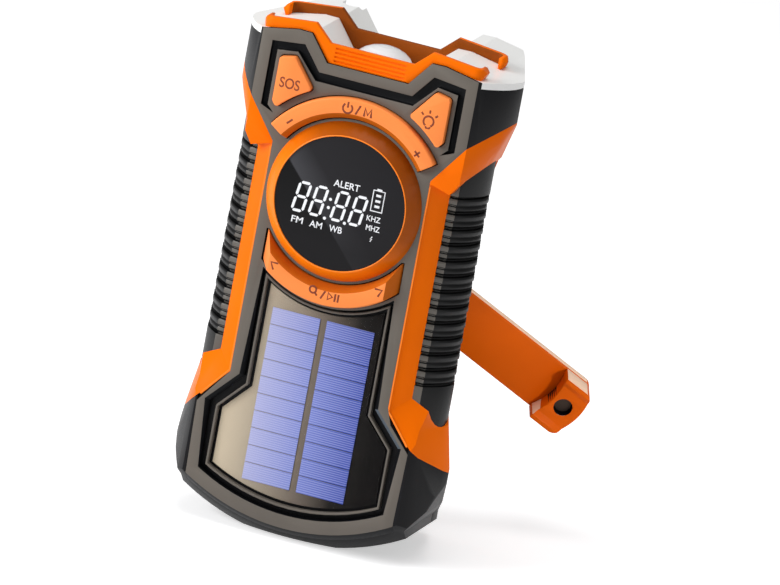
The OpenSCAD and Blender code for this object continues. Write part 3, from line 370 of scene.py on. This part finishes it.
moulded("display_glass", painted(14, 13, 15), 0.08, tone=0.2, tone_mm=30, spark=0.001, spark_mm=6,
        Specular_IOR_Level=0.1)
moulded("glyph_white", painted(236, 238, 242), 0.5, tone=0.01, spark=0.0)
print("with metals:", len(finishes))

# %% [markdown]
# ## Painted reflections and shade
#
# The glossy pieces mirror a studio with a bright and a dark side: the solar panel, the display's
# glass and the bezel are pale towards one side and dark towards the other. A room of mirrored
# cards could do that for one view only. A colour ramp over the width paints that reflection into
# the colour, the same from every side; on the bezel it paints light and shade.

# %% Painted reflections: colours that change across the face


def painted_light_ramp(name, stops, turn=0.0, keep=0.12):
    """Paints light and shade into finish `name` as a run through colours; returns the new colour.

    Each stop is (millimetres from the display's centre line, colour); turn tilts the run, in
    degrees, and keep is how much of the old colour stays."""
    tree = finishes[name].node_tree
    body = tree.nodes["Principled BSDF"]
    base = body.inputs["Base Color"].links[0].from_socket
    where = tree.nodes["Texture Coordinate"].outputs["Object"]
    turned = add_node(tree, "ShaderNodeMapping", Vector=where)
    turned.inputs["Rotation"].default_value = (0, math.radians(turn), 0)
    apart = add_node(tree, "ShaderNodeSeparateXYZ", Vector=turned.outputs[0])
    shift = DISPLAY_HEIGHT * math.sin(math.radians(turn))
    low, high = stops[0][0], stops[-1][0]
    share = ranged(tree, apart.outputs["X"], 0, 1, (low + shift) / 1000, (high + shift) / 1000)
    ramp = add_node(tree, "ShaderNodeValToRGB", Fac=share)
    points = ramp.color_ramp.elements
    while len(points) < len(stops):
        points.new(0.5)
    for point, (distance, colour) in zip(points, stops):
        point.position = (distance - low) / (high - low)
        point.color = (*colour, 1)
    mixed = tree.nodes.new("ShaderNodeMix")
    mixed.data_type = "RGBA"
    mixed.inputs["Factor"].default_value = keep
    tree.links.new(ramp.outputs["Color"], mixed.inputs["A"])
    tree.links.new(base, mixed.inputs["B"])
    tree.links.new(mixed.outputs["Result"], body.inputs["Base Color"])
    return mixed.outputs["Result"]


FADE = 0.85


def reflection_fades_below(name, colour, low, high):
    """Lets finish `name`, with its painted reflection, fade into one colour from height `high` down to
    `low`, in millimetres.
    """
    tree = finishes[name].node_tree
    body = tree.nodes["Principled BSDF"]
    base = body.inputs["Base Color"].links[0].from_socket
    where = tree.nodes["Texture Coordinate"].outputs["Object"]
    apart = add_node(tree, "ShaderNodeSeparateXYZ", Vector=where)
    faded = tree.nodes.new("ShaderNodeMix")
    faded.data_type = "RGBA"
    start = (low + DISPLAY_HEIGHT) / 1000
    end = (high + DISPLAY_HEIGHT) / 1000
    share = ranged(tree, apart.outputs["Z"], FADE, 0, start, end)
    tree.links.new(share, faded.inputs["Factor"])
    tree.links.new(base, faded.inputs["A"])
    faded.inputs["B"].default_value = (*colour, 1)
    tree.links.new(faded.outputs["Result"], body.inputs["Base Color"])


# %% The pieces with painted reflections
BACKING_REFLECTION = [(-26, painted(212, 197, 172)), (-14, painted(170, 158, 140)),
                 (0, painted(118, 108, 98)), (12, painted(34, 33, 32)), (22, painted(12, 12, 13))]
GLASS_REFLECTION = [(-7.2, painted(7, 7, 8)), (-6.7, painted(66, 66, 70)),
               (1, painted(36, 35, 38)), (20, painted(28, 27, 30))]
BEZEL_LIGHT_AND_SHADE = [(-24, painted(255, 134, 14)), (-6, painted(252, 122, 10)),
               (9, painted(158, 76, 4)), (24, painted(122, 60, 8))]
# Painted reflections on the solar backing and the display's glass, which fades out below; painted light
# and shade on the bezel.
painted_light_ramp("solar_backing", BACKING_REFLECTION, keep=0.02)
painted_light_ramp("display_glass", GLASS_REFLECTION, turn=42, keep=0.05)
reflection_fades_below("display_glass", painted(26, 25, 27), -14, 8)
painted_light_ramp("bezel_orange", BEZEL_LIGHT_AND_SHADE, turn=50)
print("stops:", len(BACKING_REFLECTION), len(GLASS_REFLECTION), len(BEZEL_LIGHT_AND_SHADE))

# %% [markdown]
# ## Solar cells
#
# A solar cell is a thin blue slice with fine silver fingers across it. The fingers are far too
# fine to model, and they are printed flat anyway, so a wave over the height mixes silver into
# the blue. That blue runs from pale on the left to deep on the right, a painted reflection. The
# cover is nearly clear and has a little gloss of its own.

# %% Solar cells and their cover
FINGER_STEP_MM = 0.68
FINGER_SHARE = 0.34
CELL_REFLECTION = [(-17, painted(178, 181, 222)), (0, painted(120, 134, 206)), (17, painted(38, 66, 164))]


def solar_cell_finish():
    moulded("solar_cell", painted(120, 130, 205), 0.3, tone=0.1, tone_mm=9, spark=0.001, spark_mm=6,
            Specular_IOR_Level=0.1)
    # The run from pale to deep blue is a painted reflection.
    blue = painted_light_ramp("solar_cell", CELL_REFLECTION, keep=0.08)
    tree = finishes["solar_cell"].node_tree
    where = tree.nodes["Texture Coordinate"].outputs["Object"]
    apart = add_node(tree, "ShaderNodeSeparateXYZ", Vector=where)
    turns = ranged(tree, apart.outputs["Z"], 0, 2 * math.pi * 1000 / FINGER_STEP_MM, 0, 1)
    wave = add_node(tree, "ShaderNodeMath")
    wave.operation = "SINE"
    tree.links.new(turns, wave.inputs[0])
    silver = tree.nodes.new("ShaderNodeMix")
    silver.data_type = "RGBA"
    tree.links.new(ranged(tree, wave.outputs[0], 0, FINGER_SHARE, -0.2, 1), silver.inputs["Factor"])
    tree.links.new(blue, silver.inputs["A"])
    silver.inputs["B"].default_value = (*painted(212, 214, 238), 1)
    tree.links.new(silver.outputs["Result"], tree.nodes["Principled BSDF"].inputs["Base Color"])


solar_cell_finish()
moulded("solar_glass", painted(60, 56, 52), 0.08, tone=0.03, spark=0.001, spark_mm=6, Alpha=0.01,
        Specular_IOR_Level=0.1)
moulded("lens_clear", painted(250, 251, 252), 0.12, tone=0.01, spark=0.001, Alpha=0.8)
moulded("rib_front", painted(86, 82, 76), 0.5, tone=0.1, spark=0.04)
print("finishes:", len(finishes))

# %% [markdown]
# ## Dressing the CAD pieces
#
# Each piece takes the finish that its record names. Moulded edges are never sharp, so the pieces
# that show get a copy with a small bevel on every hard edge; a bevel catches a thin line of light,
# and that is what makes a plastic part look moulded.

# %% Give every CAD piece its finish
slot_of = {s["node"]: s["material_slot"] for s in frame["record"]["subparts"]}
for name, piece in nodes.items():
    piece.data.materials.clear()
    piece.data.materials.append(finishes[slot_of[name]])
print("dressed:", len(slot_of))

# %% A rounded copy of a CAD piece
HARD = math.radians(32)
CREASE = math.radians(38)
NEARLY_FLAT = math.radians(0.6)
SAME_PLACE = 2e-6
LONG_EDGE = 0.006


def rounded(name, radius_mm, slope_mm=None, sloped=None):
    """A copy of CAD piece `name` with every hard edge rounded, standing for it.

    The long edges that `sloped` picks, by their middle, first get a slope slope_mm across."""
    shape = bmesh.new()
    shape.from_mesh(nodes[name].data)
    bmesh.ops.remove_doubles(shape, verts=shape.verts, dist=SAME_PLACE)
    bmesh.ops.dissolve_limit(shape, angle_limit=NEARLY_FLAT, verts=shape.verts, edges=shape.edges)
    if sloped:
        weight = shape.edges.layers.float.new("bevel_weight_edge")
        for edge in shape.edges:
            if edge.calc_length() > LONG_EDGE and edge.calc_face_angle(0) > HARD:
                edge[weight] = sloped((edge.verts[0].co + edge.verts[1].co) / 2)
    mesh = bpy.data.meshes.new("round_" + name)
    shape.to_mesh(mesh)
    shape.free()
    made = bpy.data.objects.new("round_" + name, mesh)
    bpy.context.scene.collection.objects.link(made)
    if sloped:
        slope = made.modifiers.new("slope", "BEVEL")
        slope.width = slope_mm / 1000
        slope.segments = 1
        slope.use_clamp_overlap = False
        slope.limit_method = "WEIGHT"
    bevel = made.modifiers.new("edges", "BEVEL")
    bevel.width = radius_mm / 1000
    bevel.segments = 2
    bevel.limit_method = "ANGLE"
    bevel.angle_limit = HARD
    changed = made.evaluated_get(bpy.context.evaluated_depsgraph_get())
    smooth = bpy.data.meshes.new_from_object(changed)
    made.modifiers.clear()
    made.data = smooth
    smooth.name = "round_" + name
    smooth.materials.clear()
    smooth.materials.append(finishes[slot_of[name]])
    smooth.polygons.foreach_set("use_smooth", [True] * len(smooth.polygons))
    smooth.set_sharp_from_angle(angle=CREASE)
    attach(made, nodes[name]["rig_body"])
    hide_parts(name)
    return made


# %% Round the pieces that show
ROUND = {
    "front_housing": 0.5, "rear_housing": 0.5, "side_band_right": 0.5,
    "side_band_left": 0.5, "display_bezel": 0.25, "sos_key": 0.45, "lamp_key": 0.45,
    "upper_key": 0.35, "lower_key": 0.35, "solar_frame": 0.2, "guard_frame": 0.35,
    "crank_hub": 0.3, "crank_arm": 0.35, "crank_knob": 0.4, "port_cover": 0.25,
    "grip_right": 0.3, "grip_left": 0.3,
}
dressed = {name: rounded(name, radius) for name, radius in ROUND.items()}
print("rounded:", len(dressed))

# %% [markdown]
# ## The face panel
#
# The panel gets the same small bevel, but the edge of the recess that holds the solar panel also
# slopes down into it. Only its long edges do: along the short edges of an arc a wide bevel would
# run into itself and tear the panel.

# %% The panel and its sloping recess
PANEL_RADIUS_MM = 0.35
SLOPE_MM = 1.3
FRONT = place(0, 0.05, 0).y
RECESS_TOP = place(0, 0, -24).z
RECESS_HALF = 0.0315
SHOULDER = place(0, 0, -52).z


def round_recess(middle):
    """True on the front edge of the solar panel's recess."""
    return middle.y < FRONT and middle.z < RECESS_TOP and abs(middle.x) < RECESS_HALF


dressed["face_panel"] = rounded("face_panel", PANEL_RADIUS_MM, SLOPE_MM, round_recess)
print("all rounded:", len(dressed), "faces:", sum(len(d.data.polygons) for d in dressed.values()))

# %% [markdown]
# ## Dark recesses
#
# The panel is grey only where it faces out. Everything sunk into it reads as near black. Two
# panels, one behind the other, would do, but the edge between them shows; a second finish on
# the faces below the surface is simpler, as if that part were masked while painting. On the
# recess's slope the same black is painted shade, and the one slope that catches the light, below
# the right shoulder of the recess, is painted blue-grey as the light on it.

# %% Darken what is sunk into the panel; paint shade and light on the recess's slope


def second_finish(piece, finish, chosen):
    """Gives the faces that `chosen` picks, by centre and normal, a second finish."""
    mesh = piece.data
    mesh.materials.append(finishes[finish])
    picked = [face for face in mesh.polygons if chosen(face.center, face.normal)]
    for face in picked:
        face.material_index = len(mesh.materials) - 1
    return len(picked)


SUNK_FROM = place(0, 0.5, 0).y
SUNK_TO = place(0, 2.9, 0).y
STRAIGHT_OUT, SIDEWAYS = -0.96, -0.2
LEFTWARDS, DOWNWARDS = -0.25, -0.1


def sunk(centre, normal):
    return SUNK_FROM < centre.y < SUNK_TO


def on_slope(centre, normal):
    """True on the recess's slope, which faces neither straight out nor sideways."""
    beside = Vector((centre.x, FRONT - 1, centre.z))
    return round_recess(beside) and STRAIGHT_OUT < normal.y < SIDEWAYS


def lit_slope(centre, normal):
    """True on the right half's slopes below the shoulder that face left and down."""
    turned = normal.x < LEFTWARDS and normal.z < DOWNWARDS
    return on_slope(centre, normal) and turned and centre.z < SHOULDER and centre.x > 0


# Black on the sunk faces; on the recess's slope that black is painted shade and the blue-grey painted
# light.
for finish, chosen in (("groove_black_and_shade", sunk), ("groove_black_and_shade", on_slope), ("lit_slope_slate", lit_slope)):
    print("panel,", finish, "faces:", second_finish(dressed["face_panel"], finish, chosen))

# %% [markdown]
# ## The guard, the bezel and the crank
#
# The rear rail of the guard stands in the shade of the lamp's white top, and that shade is painted
# into its finish. The bezel is a glossy dished ring with painted light and shade, dark towards the
# upper right, and a painted highlight on the lip round the glass. The bevels of the curved keys are
# darker with painted shade. The crank's upper edges shine with a painted sheen, and the hole in its
# knob and the pin in it are painted dark as shade.

# %% Shade and shine on the orange pieces
REAR_RAIL = place(0, 15, 0).y
LIP_RADIUS = 20.95
HOLE_RADIUS = 4.6
PIN_AXIS = Vector((0.4, -0.87, -0.29)).normalized()
UPWARDS = 0.7
FLAT_TOP = -0.93
TILTED = 0.3


def from_display(centre):
    """Distance from the display's centre line, in millimetres."""
    return math.hypot(centre.x, centre.z - DISPLAY_HEIGHT / 1000) * 1000


def on_lip(centre, normal):
    return from_display(centre) < LIP_RADIUS


def on_rear_rail(centre, normal):
    return centre.y > REAR_RAIL


def facing_up(centre, normal):
    return normal.z > UPWARDS


bezel = dressed["display_bezel"]
# The bezel's orange carries painted light and shade; its lip gets a painted highlight.
bezel.data.materials[0] = finishes["bezel_orange"]
print("lip faces:", second_finish(bezel, "highlight_orange", on_lip))
# Painted shade on the guard's rear rail.
print("rear rail:", second_finish(dressed["guard_frame"], "guard_shade", on_rear_rail))
# A painted sheen on the crank's upper faces.
for name in ("crank_arm", "crank_knob"):
    print(name, "shine:", second_finish(dressed[name], "edge_sheen", facing_up))


def slopes_in(centre, normal):
    """True on a key's bevel towards the display, and on the bevel at its right end."""
    outward = normal.x * centre.x + normal.z * (centre.z - DISPLAY_HEIGHT / 1000)
    inward = -outward * 1000 / from_display(centre)
    end_bevel = normal.x > TILTED > abs(normal.z)
    return normal.y > FLAT_TOP and (inward > TILTED or end_bevel)


# Painted shade on the curved keys' inward bevels and right-end bevels.
for name in ("upper_key", "lower_key"):
    print(name, "shaded:", second_finish(dressed[name], "key_shade", slopes_in))
# The pin in the knob is painted dark as the shade in the hole.
nodes["knob_pin"].data.materials[0] = finishes["pin_shade_dark"]
pin_points = [vert.co for vert in nodes["knob_pin"].data.vertices]
pin = sum(pin_points, Vector()) / len(pin_points)


def in_hole(centre, normal):
    """True on the wall of the knob's hole, which is near the pin and faces away from its axis."""
    return (centre - pin).length * 1000 < HOLE_RADIUS and abs(normal.dot(PIN_AXIS)) < TILTED


# Painted shade on the wall of the knob's hole.
print("hole faces:", second_finish(dressed["crank_knob"], "groove_black_and_shade", in_hole))

# %% [markdown]
# ## Open sides
#
# The guard's two rails end freely: at both sides the white of the lamp shows between them. The
# CAD frame is joined there, so the stretch between two depths is cut away and the ends are closed.

# %% Open the sides of the guard
OPEN_FROM, OPEN_TO = 6.5, 21.0


def opened(piece):
    shape = bmesh.new()
    shape.from_mesh(piece.data)
    for depth in (OPEN_FROM, OPEN_TO):
        everything = shape.verts[:] + shape.edges[:] + shape.faces[:]
        bmesh.ops.bisect_plane(shape, geom=everything, plane_co=place(0, depth, 0), plane_no=(0, 1, 0))
    start, end = place(0, OPEN_FROM, 0).y, place(0, OPEN_TO, 0).y
    gone = [face for face in shape.faces if start < face.calc_center_median().y < end]
    bmesh.ops.delete(shape, geom=gone, context="FACES")
    rims = [edge for edge in shape.edges if edge.is_boundary]
    bmesh.ops.holes_fill(shape, edges=rims)
    shape.to_mesh(piece.data)
    shape.free()
    return len(gone)


print("side faces taken away:", opened(dressed["guard_frame"]))

# %% [markdown]
# ## The solar panel's cover
#
# The cells lie right against the back of their cover. Two faces in one place flicker, so the
# cover that shows is a little thinner at the back.

# %% A thinner cover over the cells
COVER_BACK = place(0, 1.8, 0).y
COVER_RADIUS_MM = 0.1
cover = rounded("solar_glass", COVER_RADIUS_MM)
moved = [vert for vert in cover.data.vertices if vert.co.y > COVER_BACK]
for vert in moved:
    vert.co.y = COVER_BACK
print("cover points moved:", len(moved))

# %% [markdown]
# ## Ribs on the grips
#
# Each rib of the rubber is rounded, and a fine line splits it into a tall and a short band. The
# CAD grip has the cuts between ribs but leaves them flat. Slicing every rib at a few heights and
# pulling each slice in by a named profile gives that shape and leaves the outer size alone.

# %% Swell the ribs
RIB_TOP = 8.8
RIB_PITCH = 4.93
RIB_CUT = 0.7
RIB_COUNT = 12
RIB_PROFILE = [(0, 0.5), (0.06, 0.14), (0.2, 0), (0.44, 0.06), (0.52, 0.6),
               (0.58, 0.6), (0.64, 0.26), (0.8, 0.2), (0.93, 0.34), (1, 0.7)]
RIB_CREASE = math.radians(30)
RIB_SLACK = 0.01
LEVEL_SHARE = 0.3
OUTWARD_SHARE = 0.2
RIB_FRONT = -0.72


def drawn_in(part):
    """How far a rib's surface stands back, in millimetres, at a share of its height from the top."""
    for (start, first), (end, last) in zip(RIB_PROFILE, RIB_PROFILE[1:]):
        if part <= end:
            return first + (last - first) * (part - start) / (end - start)
    return RIB_PROFILE[-1][1]


def sliced(shape, level):
    """Cuts every face of the shape at one height, given in millimetres from the display's centre."""
    everything = shape.verts[:] + shape.edges[:] + shape.faces[:]
    bmesh.ops.bisect_plane(shape, geom=everything, plane_co=place(0, 0, level), plane_no=(0, 0, 1))


def swollen(piece):
    """Rounds each rib of a grip and returns how many points were drawn in."""
    shape = bmesh.new()
    shape.from_mesh(piece.data)
    tall = RIB_PITCH - RIB_CUT
    for rib in range(RIB_COUNT):
        top = RIB_TOP - RIB_CUT - rib * RIB_PITCH
        for part, _ in RIB_PROFILE[1:-1]:
            sliced(shape, top - tall * part)
    shape.normal_update()
    moves = {}
    for vert in shape.verts:
        rib, below = divmod(RIB_TOP - RIB_CUT - (vert.co.z * 1000 - DISPLAY_HEIGHT), RIB_PITCH)
        out = Vector((vert.normal.x, vert.normal.y, 0))
        away = out.x * math.copysign(1, vert.co.x) - out.y
        outward = out.length > LEVEL_SHARE and away > OUTWARD_SHARE
        if 0 <= rib < RIB_COUNT and below <= tall + RIB_SLACK and outward:
            moves[vert] = out.normalized() * drawn_in(below / tall) / 1000
    for vert, move in moves.items():
        vert.co -= move
    shape.to_mesh(piece.data)
    shape.free()
    piece.data.set_sharp_from_angle(angle=RIB_CREASE)
    return len(moves)


def facing_out(centre, normal):
    return normal.y < RIB_FRONT


for side in ("grip_right", "grip_left"):
    print(side, "points drawn in:", swollen(dressed[side]))
    print(side, "front faces:", second_finish(dressed[side], "rib_front", facing_out))

# %% [markdown]
# ## Marks
#
# The signs on the keys are fine printed lines, darker than the key, and the signs on the display
# glow white. They could be a picture laid on the face, but a picture blurs close up. Words come
# from Blender's own font turned into a mesh; icons are thin curves. Both are laid flat on the
# face and leave it by a few hundredths of a millimetre.

# %% From a curve to a flat mark
MARK_PROUD_MM = 0.03
WORD_THICKNESS = 0.02
WORD_WEIGHT = 0.012


def stamped(marks, curve, place_it, squeeze=1.0):
    """Adds a curve's mesh to `marks`; place_it turns (right, up) in the curve into x, z on the face."""
    holder = bpy.data.objects.new("draft", curve)
    bpy.context.scene.collection.objects.link(holder)
    changed = holder.evaluated_get(bpy.context.evaluated_depsgraph_get())
    mesh = bpy.data.meshes.new_from_object(changed)
    for vert in mesh.vertices:
        x, z = place_it(vert.co.x, vert.co.y)
        vert.co = Vector((x, -vert.co.z * squeeze, z))
    marks.from_mesh(mesh)
    bpy.data.objects.remove(holder)
    bpy.data.meshes.remove(mesh)


# %% Words


def write(marks, words, x, z, height, width):
    """Words centred at x, z and stretched to a height and a width, all in millimetres."""
    curve = bpy.data.curves.new("draft", "FONT")
    curve.body = words
    curve.offset = WORD_WEIGHT
    curve.extrude = WORD_THICKNESS
    curve.align_x = "CENTER"
    holder = bpy.data.objects.new("draft", curve)
    bpy.context.scene.collection.objects.link(holder)
    bpy.context.view_layer.update()
    corners = [Vector(c) for c in holder.bound_box]
    bpy.data.objects.remove(holder)
    low = Vector((min(c.x for c in corners), min(c.y for c in corners)))
    high = Vector((max(c.x for c in corners), max(c.y for c in corners)))
    tall = height / (high.y - low.y)
    wide = width / (high.x - low.x)

    def place_it(right_by, up_by):
        along = (right_by - (low.x + high.x) / 2) * wide
        above = (up_by - (low.y + high.y) / 2) * tall
        return x + along, z + above

    stamped(marks, curve, place_it)


# %% Lines and patches


def stroke(marks, points, width, closed=False):
    """A thin line through points given as (x, z) in millimetres."""
    curve = bpy.data.curves.new("draft", "CURVE")
    curve.dimensions = "3D"
    curve.bevel_depth = width / 2
    curve.bevel_resolution = 1
    curve.use_fill_caps = True
    line = curve.splines.new("POLY")
    line.points.add(len(points) - 1)
    for point, (x, z) in zip(line.points, points):
        point.co = (x, z, 0, 1)
    line.use_cyclic_u = closed
    stamped(marks, curve, lambda a, b: (a, b), MARK_PROUD_MM / (width / 2))


def arc(x, z, radius, start, end, steps=18):
    """Points on an arc round x, z, from one angle to another in degrees."""
    turns = [math.radians(start + (end - start) * i / steps) for i in range(steps + 1)]
    return [(x + radius * math.cos(t), z + radius * math.sin(t)) for t in turns]


def filled(marks, points):
    """A flat patch; points run anticlockwise as (x, z)."""
    marks.faces.new([marks.verts.new((x, -MARK_PROUD_MM, z)) for x, z in points])


# %% From marks to a piece


def laid(marks, name, y, body, finish):
    """Turns the gathered marks into a piece on the surface at depth y."""
    for vert in marks.verts:
        vert.co = place(vert.co.x, y + vert.co.y, vert.co.z)
    mesh = bpy.data.meshes.new(name)
    marks.to_mesh(mesh)
    marks.free()
    made = bpy.data.objects.new(name, mesh)
    bpy.context.scene.collection.objects.link(made)
    mesh.materials.append(finishes[finish])
    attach(made, body)
    print(name, "faces:", len(mesh.polygons))


def around(middle, steps):
    """Points given by their steps from a sign's middle."""
    return [(middle[0] + right_by, middle[1] + up_by) for right_by, up_by in steps]


# %% [markdown]
# ## Signs on the corner keys
#
# The left key calls for help and bears three letters; the right one is for the lamp and bears a
# bulb with three rays.

# %% The three letters
CORNER_KEY_FACE = -2.0
SOS_SIGN = (-22.7, 31.6)
SOS_SIZE = (3.3, 6.4)
marks = bmesh.new()
write(marks, "SOS", *SOS_SIGN, *SOS_SIZE)
laid(marks, "sos_mark", CORNER_KEY_FACE, "sos_button", "mark_orange")

# %% The bulb and its rays
LINE = 0.6
LAMP_SIGN = (21.9, 31.0)
BULB = 1.6
BULB_FOOT = [(-0.7, -1.6), (-0.5, -2.1), (0.5, -2.1), (0.7, -1.6)]
RAY_FROM, RAY_TO = 2.5, 3.5
marks = bmesh.new()
stroke(marks, arc(*LAMP_SIGN, BULB, -60, 240), LINE)
stroke(marks, around(LAMP_SIGN, BULB_FOOT), LINE)
for ray in (42, 90, 138):
    stroke(marks, [arc(*LAMP_SIGN, reach, ray, ray)[0] for reach in (RAY_FROM, RAY_TO)], LINE)
laid(marks, "lamp_mark", CORNER_KEY_FACE, "lamp_button", "mark_orange")

# %% [markdown]
# ## Lines of light
#
# The rounded inner edge of each orange band shines as a thin paler line, from the head down and
# round the lower flare. A bevel alone is too thin to show it, so a flat line of painted highlight
# is laid along it.

# %% Lines of light along the bands
BAND_EDGE = [(25.5, 11.0), (25.5, -59.6), (33.3, -69.0)]
BAND_LINE = 0.75
BAND_FACE = 0.05
# Each line is a painted highlight.
for name, side in (("band_line_right", 1), ("band_line_left", -1)):
    marks = bmesh.new()
    stroke(marks, [(side * x, z) for x, z in BAND_EDGE], BAND_LINE)
    laid(marks, name, BAND_FACE, "root", "highlight_orange")

# %% [markdown]
# ## Signs on the curved keys
#
# The upper key bears the sign for power, the letter M, a minus and a plus, both turned to follow
# the key's curve. The lower key bears a loupe, the sign for play and pause, and two arrows.

# %% Signs on the upper curved key
UPPER_KEY_FACE = -2.6
POWER_SIGN = (-3.4, 28.9)
POWER_RADIUS = 1.5
POWER_FROM, POWER_TO = 128, 412
POWER_STEM = [(0, 0.2), (0, 2.0)]
UPPER_SLASH = [(-0.7, 27.6), (0.5, 30.6)]
LETTER_M = (3.1, 29.0)
M_LINE = 1.2 * LINE
M_POINTS = [(-1.1, -1.3), (-1.0, 1.3), (0, -0.7), (1.0, 1.3), (1.1, -1.3)]
MINUS, PLUS = (-20.4, 20.5), (20.4, 20.5)
RISING = [(-0.8, -0.8), (0.8, 0.8)]
FALLING = [(-0.8, 0.8), (0.8, -0.8)]
marks = bmesh.new()
stroke(marks, arc(*POWER_SIGN, POWER_RADIUS, POWER_FROM, POWER_TO), LINE)
stroke(marks, around(POWER_SIGN, POWER_STEM), LINE)
stroke(marks, UPPER_SLASH, LINE)
stroke(marks, around(LETTER_M, M_POINTS), M_LINE)
stroke(marks, around(MINUS, RISING), LINE)
stroke(marks, around(PLUS, FALLING), LINE)
stroke(marks, around(PLUS, RISING), LINE)
laid(marks, "upper_marks", UPPER_KEY_FACE, "upper_button", "mark_orange")

# %% Signs on the lower curved key
LOWER_KEY_FACE = -3.8
ARROW = [(15.5, -22.8), (17.8, -22.8), (16.8, -25.0)]
LOUPE, LOUPE_RADIUS = (-3.4, -27.8), 1.05
LOUPE_HANDLE = [(-2.7, -28.6), (-1.9, -29.4)]
LOWER_SLASH = [(-0.7, -30.0), (0.5, -27.4)]
PLAY = [(1.5, -27.6), (3.0, -28.7), (1.5, -29.8)]
PAUSE_AT = (3.8, 4.8)
PAUSE_TOP, PAUSE_FOOT = -27.5, -29.9
marks = bmesh.new()
for side in (-1, 1):
    stroke(marks, [(side * x, z) for x, z in ARROW], LINE)
stroke(marks, arc(*LOUPE, LOUPE_RADIUS, 0, 360), LINE)
stroke(marks, LOUPE_HANDLE, LINE)
stroke(marks, LOWER_SLASH, LINE)
stroke(marks, PLAY, LINE, closed=True)
for x in PAUSE_AT:
    stroke(marks, [(x, PAUSE_TOP), (x, PAUSE_FOOT)], LINE)
laid(marks, "lower_marks", LOWER_KEY_FACE, "lower_button", "mark_orange")

# %% [markdown]
# ## The display
#
# The display shows every segment lit: four leaning figures of seven bars each, a colon, points,
# and small words. A bar is a six-sided patch, and a figure is one function called four times.

# %% A leaning bar
BAR, BAR_GAP, LEAN = 0.85, 0.22, 0.155


def bar(marks, a, b, x, z):
    """A six-sided bar from a to b, in the upright figure's own coordinates, leaning with it."""
    (ax, az), (bx, bz) = a, b
    length = math.hypot(bx - ax, bz - az)
    along = ((bx - ax) / length, (bz - az) / length)
    side = (-along[1] * BAR / 2, along[0] * BAR / 2)
    ends = []
    for (px, pz), way in ((a, 1), (b, -1)):
        start = (px + along[0] * BAR_GAP * way, pz + along[1] * BAR_GAP * way)
        inner = (start[0] + along[0] * BAR / 2 * way, start[1] + along[1] * BAR / 2 * way)
        ends.append((inner[0] + side[0] * way, inner[1] + side[1] * way))
        ends.append(start)
        ends.append((inner[0] - side[0] * way, inner[1] - side[1] * way))
    filled(marks, [(x + px + LEAN * pz, z + pz) for px, pz in ends])


# %% Figures on the display
DIGIT_W, DIGIT_H, DIGIT_FOOT = 4.2, 9.7, -5.65
DIGITS_AT = (-12.9, -7.45, -0.5, 5.2)
DOTS_AT = [(-3.1, 0.6), (-3.3, -2.0), (-3.9, -5.5), (2.5, -5.5)]
DOT_RADIUS = 0.5


def figure(marks, x):
    left, right = -DIGIT_W / 2 + BAR / 2, DIGIT_W / 2 - BAR / 2
    low, middle, high = BAR / 2, DIGIT_H / 2, DIGIT_H - BAR / 2
    for level in (low, middle, high):
        bar(marks, (left, level), (right, level), x, DIGIT_FOOT)
    for side in (left, right):
        bar(marks, (side, low), (side, middle), x, DIGIT_FOOT)
        bar(marks, (side, middle), (side, high), x, DIGIT_FOOT)


marks = bmesh.new()
for x in DIGITS_AT:
    figure(marks, x)
for x, z in DOTS_AT:
    filled(marks, arc(x, z, DOT_RADIUS, 0, 330, 11))
print("patches:", len(marks.faces))

# %% Words and small signs on the display
GLASS_FACE = -3.9
WORDS = [("ALERT", 1.15, 6.0, 2.1, 8.3), ("KHZ", 11.2, -2.0, 1.7, 4.4),
         ("MHZ", 11.5, -4.9, 1.7, 4.4), ("FM", -12.2, -8.0, 2.0, 3.7),
         ("AM", -6.2, -8.1, 2.0, 4.0), ("WB", 0.1, -8.0, 2.0, 4.1)]
for words, x, z, height, width in WORDS:
    write(marks, words, x, z, height, width)
BATTERY = (11.5, 3.6)
BATTERY_W, BATTERY_H, CHARGE_HALF, CHARGE_STEP = 3.6, 6.4, 0.8, 1.7
CASE_LINE, CAP_LINE, CHARGE_LINE, BOLT_LINE = 0.45, 0.6, 0.8, 0.35
CAP_GAP = 0.35
BOLT = [(11.8, -7.4), (11.3, -8.2), (11.8, -8.2), (11.3, -9.0)]
half_w, half_h = BATTERY_W / 2, BATTERY_H / 2
case = [(-half_w, -half_h), (-half_w, half_h), (half_w, half_h), (half_w, -half_h)]
stroke(marks, around(BATTERY, case), CASE_LINE, closed=True)
cap = half_h + CAP_GAP
stroke(marks, around(BATTERY, [(-CHARGE_HALF, cap), (CHARGE_HALF, cap)]), CAP_LINE)
for step in (-1, 0, 1):
    level = CHARGE_STEP * step
    stroke(marks, around(BATTERY, [(-CHARGE_HALF, level), (CHARGE_HALF, level)]), CHARGE_LINE)
stroke(marks, BOLT, BOLT_LINE)
laid(marks, "display_marks", GLASS_FACE, "root", "glyph_white")
